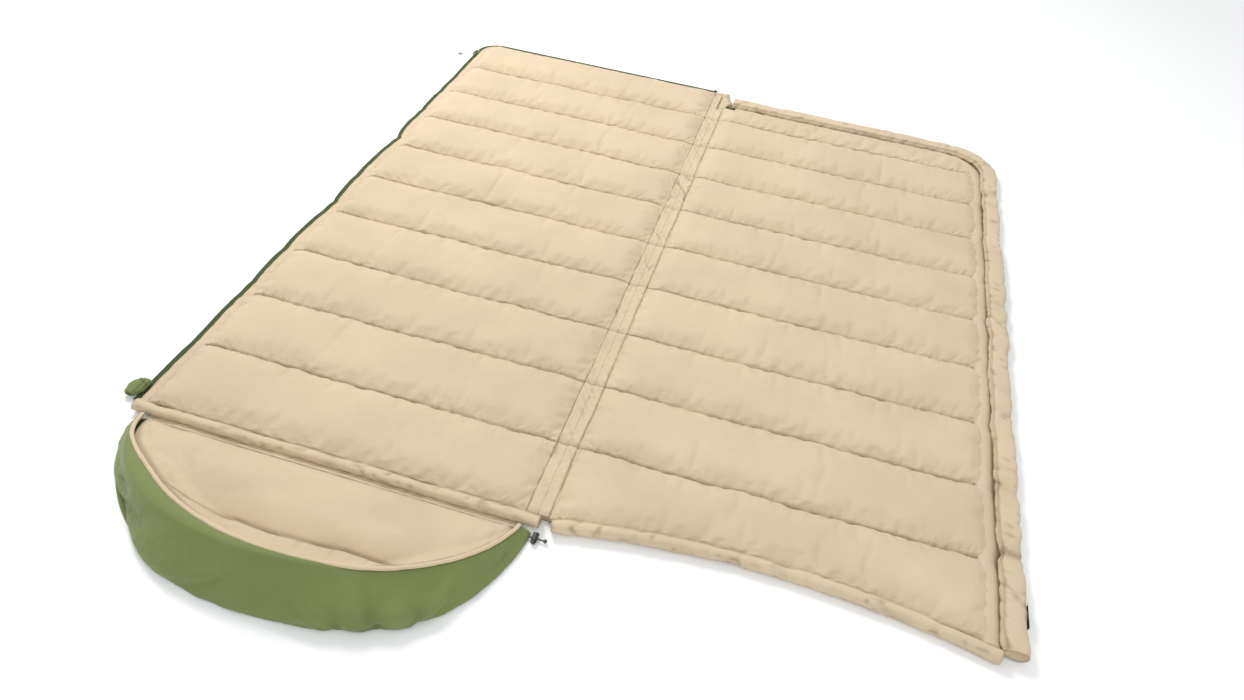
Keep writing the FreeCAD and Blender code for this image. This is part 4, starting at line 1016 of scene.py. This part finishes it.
def wall_rows(theta, tall, roll):
    """Rows of the wall from under its foot, up the outside, over the rim and down the inside, with the shade
    painted on each.
    """
    hump = 0.0066 * step(roll, 0.001, 0.008)
    tuck = 0.022 * bell(theta - 2.45, 0.26)
    bulge = 0.026 * bell(theta - 0.85, 0.40) + 0.006 * bell(theta - 2.0, 0.28)
    scale = 0.35 + 0.65 * tall / 0.087
    flat = 0 * theta
    rows = []
    for inset, z in WALL_FOOT:
        rows.append((0.0, inset * scale - 0.7 * bulge, z + flat, flat))
    for level in np.linspace(0.03, 1.0, 26):
        rows.append((level, *wall_side(theta, tall, scale, bulge, level)))
    for plain, up, share in WALL_RIM:
        rows.append((1.0, plain + share * roll, tall + hump * up, flat))
    for level in np.linspace(0.96, 0.06, 10):
        rows.append((level, 0.0085 + roll, np.maximum(level * tall - 0.001, 0.0016), flat))
    verts = []
    for level, inset, z, _ in rows:
        inset = inset + tuck * (1 - level) * np.clip(tall / 0.032, 0, 1)
        x, y = hood_ring(theta, np.clip(level * tall, 0, 1), inset)
        verts.append(np.stack([x, y, z], axis=1))
    return np.stack(verts, axis=1), np.stack([painted_shade for *_, painted_shade in rows], axis=1)


def hood_wall():
    """The brushed outer wall, a closed pad that rolls under at its foot and in at its rim."""
    theta = np.linspace(0.006, math.pi - 0.006, 300)
    tall, roll = rim(theta), hood_roll(theta)
    ring, crease_depth_and_shade = wall_rows(theta, tall, roll)
    count, sides, _ = ring.shape
    ends = [[sides - 1 - k for k in range(sides)], [(count - 1) * sides + k for k in range(sides)]]
    faces = tube_faces(count, sides) + ends
    nodes = ["hood_wall_shell", "hood_wall_wadding", "hood_wall_lining"]
    wall = piece("hood_wall_pad", ring.reshape(-1, 3), faces, GREEN, "hood", nodes, crease_depth_and_shade)
    rim_piping(theta, tall, roll)


def rim_piping(theta, tall, roll):
    """The tan piping that covers the drawcord along the rim."""
    x, y = hood_ring(theta, tall, 0.0072 + roll)
    path = np.stack([x, y, tall + 0.0036 - 0.0010 * step(roll, 0.004, 0.012)], axis=1)
    path[:, 2] += 0.0008 * noise(theta / 0.06, 0.5, 84)
    path = spaced(path, 0.004)
    turn = np.arange(12) * math.pi / 6
    s = along(path)[:, None]
    swell = 1 + 0.10 * noise(s / 0.011, turn[None, :], 85)
    ring = np.stack([0.0044 * np.cos(turn) * swell, 0.0034 * np.sin(turn) * swell], axis=2)
    verts, faces = sweep_mesh(path, outwards(path, 1), ring, 0.002)
    piece("hood_rim_piping", verts, faces, TAN_LIGHT, "hood", ["hood_piping"])


HOOD_SEAM = HOOD_Y - 0.001 - 0.160


def sagging_seam(x):
    """The hood's seam, which wanders a little across its width."""
    return HOOD_SEAM + 0.006 * noise(x / 0.14, 0.5, 91) + 0.0022 * noise(x / 0.035, 0.5, 92)


def hood_lining():
    """The quilted lining of the hood, which climbs the inside of the wall to the rim."""
    quarter = np.linspace(0.0, math.pi / 2, 400)
    edge_x, edge_y = hood_ring(quarter, rim(quarter), 0.0125)
    start = HOOD_Y - 0.002
    back = edge_y[-1] + 0.004
    seam = HOOD_SEAM
    t = 1 - (1 - np.linspace(0, 1, 84)) ** 1.3
    y = start + (back - start) * t
    y[np.argmin(np.abs(y - seam))] = seam
    u = np.linspace(-1, 1, 150)
    u = u + 0.35 * np.sin(np.pi * u) / np.pi
    yy, uu = np.meshgrid(y, u, indexing="ij")
    xx = HOOD_X + uu * np.interp(-yy, -edge_y, edge_x - HOOD_X)
    sagged = sagging_seam(xx)
    first = np.clip((start - yy) / (start - sagged), 0, 1)
    second = np.clip((sagged - yy) / 0.165, 0, 1)
    near_puff = (1 - np.abs(2 * first - 1) ** 2.4) ** 0.8
    puff = np.where(yy > sagged, near_puff, (1 - np.abs(2 * second - 1) ** 2.0) ** 0.7)
    z = 0.0085 + 0.0130 * puff
    gap = np.abs(yy - sagged)
    z += 0.0024 * np.exp(-gap / 0.015) * (1 - np.exp(-gap / 0.003)) * noise(xx / 0.011, 0.5, 93)
    z += puff * (0.0022 * noise(xx / 0.07, yy / 0.05, 94) + 0.0010 * noise(xx / 0.02, yy / 0.03, 95))
    z -= 0.0022 * bell(gap, 0.0034)
    # painted shade: a dark line along the seam and dark dashes in the puckers beside it
    crease_depth_and_shade = 0.95 * bell(gap, 0.0030) * (0.75 + 0.25 * noise(xx / 0.05, 0.5, 99))
    dashes = np.clip(noise(xx / 0.007, 2.5, 100) - 0.25, 0, 1)
    crease_depth_and_shade = np.maximum(crease_depth_and_shade, 0.9 * dashes * np.exp(-gap / 0.010) * (yy < sagged))
    theta = np.arctan2((HOOD_Y - yy) / (HOOD_B - 0.07), (xx - HOOD_X) / (HOOD_A - 0.03))
    rim_x, rim_y = hood_ring(theta, rim(np.clip(theta, 0.001, math.pi - 0.001)), 0.0125)
    away = np.hypot(rim_x - HOOD_X, rim_y - HOOD_Y) - np.hypot(xx - HOOD_X, yy - HOOD_Y) - hood_roll(theta)
    climb = (1 - np.clip(away / 0.052, 0, 1)) ** 1.8
    corner = np.exp(-(((xx + 0.80) / 0.10) ** 2) - (((yy - HOOD_Y + 0.06) / 0.07) ** 2))
    twist = noise((xx + yy) / 0.016, (xx - yy) / 0.06, 90)
    crumple = 0.0046 * noise(xx / 0.030, yy / 0.030, 96) + 0.0024 * noise(xx / 0.012, yy / 0.012, 97)
    z += 0.0042 * corner * twist * step(away, 0.006, 0.03)
    # painted shade in the twisted corner's creases
    crease_depth_and_shade = np.maximum(crease_depth_and_shade, 0.8 * corner * np.clip(-twist - 0.25, 0, 1))
    tall = rim(np.clip(theta, 0.001, math.pi - 0.001))
    z = z + climb * np.clip(tall - 0.0075 - z, -0.004, None) + crumple * climb * (1 - climb) * 4
    z -= 0.003 * (1 - np.clip((start - yy) / 0.02, 0, 1))
    grid = np.stack([xx, yy, np.maximum(z, 0.0065)], axis=2)
    verts, faces = closed_pad(grid, 0.0055, False)
    nodes = ["hood_floor_lining", "hood_floor_wadding"]
    # painted shade where the lining climbs into the recess under the rim
    crease_depth_and_shade = np.maximum(crease_depth_and_shade, 0.55 * np.clip((climb - 0.75) * 4, 0, 1))
    pad = piece("hood_quilting", verts, faces, TAN, "hood", nodes, crease_depth_and_shade)


def hood_stitches():
    """The row of stitches in the hood's one seam."""
    x = np.linspace(HOOD_X - 0.30, HOOD_X + 0.30, 140)
    line = np.stack([x, sagging_seam(x), np.full_like(x, 0.0098)], axis=1)
    verts, faces = beads(line, 0.0034, 0.0046, 0.0004, 0.0004)
    piece("hood_seam_stitches", verts, faces, THREAD, "hood", ["hood_quilting_thread"])


def hood_shell():
    """The outer cloth under the hood's floor, grooved along the seam."""
    y = np.linspace(HOOD_Y - 0.002, HOOD_Y - HOOD_B + 0.014, 60)
    u = np.linspace(-1, 1, 90)
    yy, uu = np.meshgrid(y, u, indexing="ij")
    half = (HOOD_A - 0.013) * np.sqrt(np.clip(1 - ((HOOD_Y - yy) / (HOOD_B - 0.0125)) ** 2, 0.001, 1))
    xx = HOOD_X + uu * half
    low = 0.0014 + 0.0028 * bell(yy - HOOD_SEAM, 0.012) + 0.0004 * noise(xx / 0.03, yy / 0.03, 98)
    under = np.stack([xx, yy, low], axis=2)
    verts, faces = two_skins(under, under + (0, 0, 0.0011), False)
    piece("hood_shell", verts, faces, GREEN, "hood", ["hood_floor_shell"])


def hood_neck():
    """The strip of cloth that the hood turns on, between the collar tube and the hood's quilting."""
    x = np.linspace(HOOD_X - HOOD_A + 0.022, HOOD_X + HOOD_A - 0.022, 260)
    a = np.linspace(0, 1, 12)
    xx, aa = np.meshgrid(x, a, indexing="ij")
    yy = NECK - 0.010 - 0.029 * aa
    z = 0.0105 - 0.0030 * np.sin(math.pi * aa) + 0.0012 * noise(xx / 0.012 + aa * 2, aa * 2, 111)
    z += 0.0016 * noise(xx / 0.05, aa * 1.5, 112)
    # painted shade in the groove along the middle of the strip
    crease_depth_and_shade = 0.75 * bell(aa - 0.42, 0.16) * (0.85 + 0.15 * noise(xx / 0.03, 0.5, 113))
    grid = np.stack([xx, yy, z], axis=2)
    verts, faces = closed_pad(grid, 0.0018, True, 4)
    strip = piece("hood_neck_strip", verts, faces, TAN, None, (), crease_depth_and_shade)
    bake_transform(strip)


hood_wall()
hood_lining()
hood_stitches()
hood_shell()
hood_neck()


# ---------------------------------------------------------------- cord, tab, label and hardware


def pull_cord():
    """The braided cord on the zip's puller, and its moulded grip."""
    route = [
        (-0.90925, 1.0295, 0.0081),
        (-0.91725, 1.0299, 0.0076),
        (-0.92625, 1.0281, 0.0050),
        (-0.93625, 1.0251, 0.0036),
        (-0.94525, 1.0233, 0.0036),
    ]
    curve = bpy.data.curves.new("zip_pull_cord", "CURVE")
    curve.dimensions, curve.bevel_depth, curve.bevel_resolution = "3D", 0.00125, 6
    curve.resolution_u = 16
    line = curve.splines.new("NURBS")
    line.points.add(len(route) - 1)
    for point, place in zip(line.points, route):
        point.co = (*place, 1)
    line.order_u = 3
    line.use_endpoint_u = True
    curve.materials.append(CORD)
    cord = bpy.data.objects.new("zip_pull_cord", curve)
    bpy.context.scene.collection.objects.link(cord)
    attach(cord, "zip_puller")
    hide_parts("pull_cord")
    start, before = np.array(route[-1]), np.array(route[-2])
    ahead = (start - before) / np.linalg.norm(start - before)
    profile = [(0.0, 0.0013), (0.0006, 0.0021), (0.0020, 0.0024), (0.0045, 0.0029), (0.0060, 0.0033)]
    for k in range(5):
        base = 0.0066 + 0.0017 * k
        profile += [(base, 0.0034), (base + 0.0005, 0.0030), (base + 0.0010, 0.0030), (base + 0.0014, 0.0034)]
    profile += [(0.0154, 0.0033), (0.0159, 0.0026), (0.0160, 0.0012)]
    across = np.cross(ahead, (0, 0, 1.0))
    across /= np.linalg.norm(across)
    up = np.cross(across, ahead)
    turn = np.arange(20) * math.pi / 10
    spokes = [math.cos(t) * across + math.sin(t) * up for t in turn]
    verts = [start + ahead * d + r * spoke for d, r in profile for spoke in spokes]
    faces = capped_tube(len(profile), 20)
    grip = piece("zip_pull_grip", verts, faces, GRIP, "zip_puller", ["pull_cord_grip"])


def power(value, p):
    """A power that keeps the sign."""
    return np.sign(value) * np.abs(value) ** p


def closure_tab():
    """The padded green flap over the head end of the zip, plump and creased."""
    low, high = (np.array(v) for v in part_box("closure_tab_cover"))
    v = np.linspace(0.02, math.pi - 0.02, 46)
    w = np.arange(56) * 2 * math.pi / 56
    vv, ww = np.meshgrid(v, w, indexing="ij")
    middle, half = (low + high) / 2, (high - low) / 2
    x = power(np.sin(vv), 0.75) * power(np.cos(ww), 0.8)
    z = power(np.sin(vv), 0.75) * power(np.sin(ww), 0.85)
    y = -np.cos(vv)
    roll = 0.45 * np.sin(ww * 3 + y * 1.6 + 0.5) + noise(y * 2.6 + 0.4 * np.sin(ww), ww * 1.1, 101)
    fold_and_shade = bell(ww - 1.15 - 0.35 * y, 0.16) + 0.7 * bell(ww - 2.2 + 0.5 * y, 0.14)
    dimple = bell(y - 0.45 + 0.2 * x, 0.09)
    size = 1 + 0.09 * roll - 0.13 * dimple * (z > -0.2) - 0.13 * fold_and_shade - 0.16 * step(-y, 0.1, 1.0)
    # painted shade in the folds, the dimple, at one end and in the hollows of the rolls
    crease_depth_and_shade = 0.9 * np.clip(fold_and_shade - 0.35, 0, 1) + 0.5 * dimple * (z > 0) + 0.9 * step(-y, 0.86, 0.97)
    crease_depth_and_shade = crease_depth_and_shade + 0.6 * np.clip(-roll - 0.6, 0, 1)
    lean = 0.006 * y
    across, along_y, up = half[0] * x * size + lean, half[1] * y, half[2] * z * size
    points = np.stack([middle[0] + across, middle[1] + along_y, middle[2] + up], axis=2)
    tongue = step(points[:, :, 0], middle[0] - 0.002, middle[0] + 0.012)
    floor = 0.0006 + 0.0078 * tongue
    points[:, :, 2] = np.maximum(points[:, :, 2], floor)
    points[:, :, 0] = np.minimum(points[:, :, 0], high[0] - 0.0032)
    faces = capped_tube(len(v), 56)
    nodes = ["closure_tab_cover", "closure_tab_wadding"]
    verts = points.reshape(-1, 3)
    tab = piece("closure_tab_pad", verts, faces, GREEN, "closure_tab", nodes, crease_depth_and_shade)
    ends = [(high[0] - 0.004, y, high[2] - 0.0022) for y in (low[1] + 0.006, high[1] - 0.006)]
    verts, faces = beads(np.array(ends), 0.003, 0.0042, 0.0004, 0.0004)
    made = piece("closure_tab_stitches", verts, faces, GREEN_THREAD, "closure_tab")


def lock_spring():
    """The wire spring behind the cord lock's button."""
    low, high = (np.array(v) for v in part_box("cord_lock_spring"))
    wire, turns = 0.00035, 3
    middle, radius = (low + high) / 2, (high[0] - low[0]) / 2 - wire
    turn = np.linspace(0, turns * 2 * math.pi, turns * 24 + 1)
    across = np.stack([np.cos(turn), np.zeros(len(turn)), np.sin(turn)], axis=1)
    path = middle + across * radius
    path[:, 1] = np.linspace(low[1] + wire, high[1] - wire, len(turn))
    round_wire = np.arange(8) * math.pi / 4
    rings = [
        place + wire * (math.cos(t) * outward + math.sin(t) * np.array((0, 1.0, 0)))
        for place, outward in zip(path, across)
        for t in round_wire
    ]
    faces = capped_tube(len(path), 8)
    spring = piece("lock_spring_wire", rings, faces, STEEL, "cord_lock", ["cord_lock_spring"])
    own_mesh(spring)


def care_label():
    """A blank folded label in the seam of the draft tube."""
    low, high = (np.array(v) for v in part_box("care_label"))
    y = np.linspace(low[1], high[1], 26)
    z = np.linspace(low[2], high[2], 12)
    yy, zz = np.meshgrid(y, z, indexing="ij")
    t = (zz - low[2]) / (high[2] - low[2])
    bow = 0.0035 * np.sin(math.pi * t) + 0.0006 * np.sin((yy - low[1]) * 190) * (1 - t)
    inner = np.stack([low[0] - 0.002 + bow, yy, zz], axis=2)
    verts, faces = two_skins(inner, inner + (0.0006, 0, 0), True)
    piece("blank_label", verts, faces, LABEL, "over_panel", ["care_label"])


def hardware():
    """Materials for the CAD pieces that show as they are."""
    looks = {
        ENAMEL: ("slider_body", "puller_tab"),
        NYLON: ("zip_retainer_box", "zip_insertion_pin", "under_zip_top_stop", "over_zip_top_stop"),
        DARK_CORD: ("hood_drawcord", "drawcord_knot"),
        LOCK: ("cord_lock_body", "cord_lock_button"),
    }
    for material, names in looks.items():
        for name in names:
            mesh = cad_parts[name].data
            mesh.materials.clear()
            mesh.materials.append(material)


pull_cord()
closure_tab()
lock_spring()
care_label()
hardware()
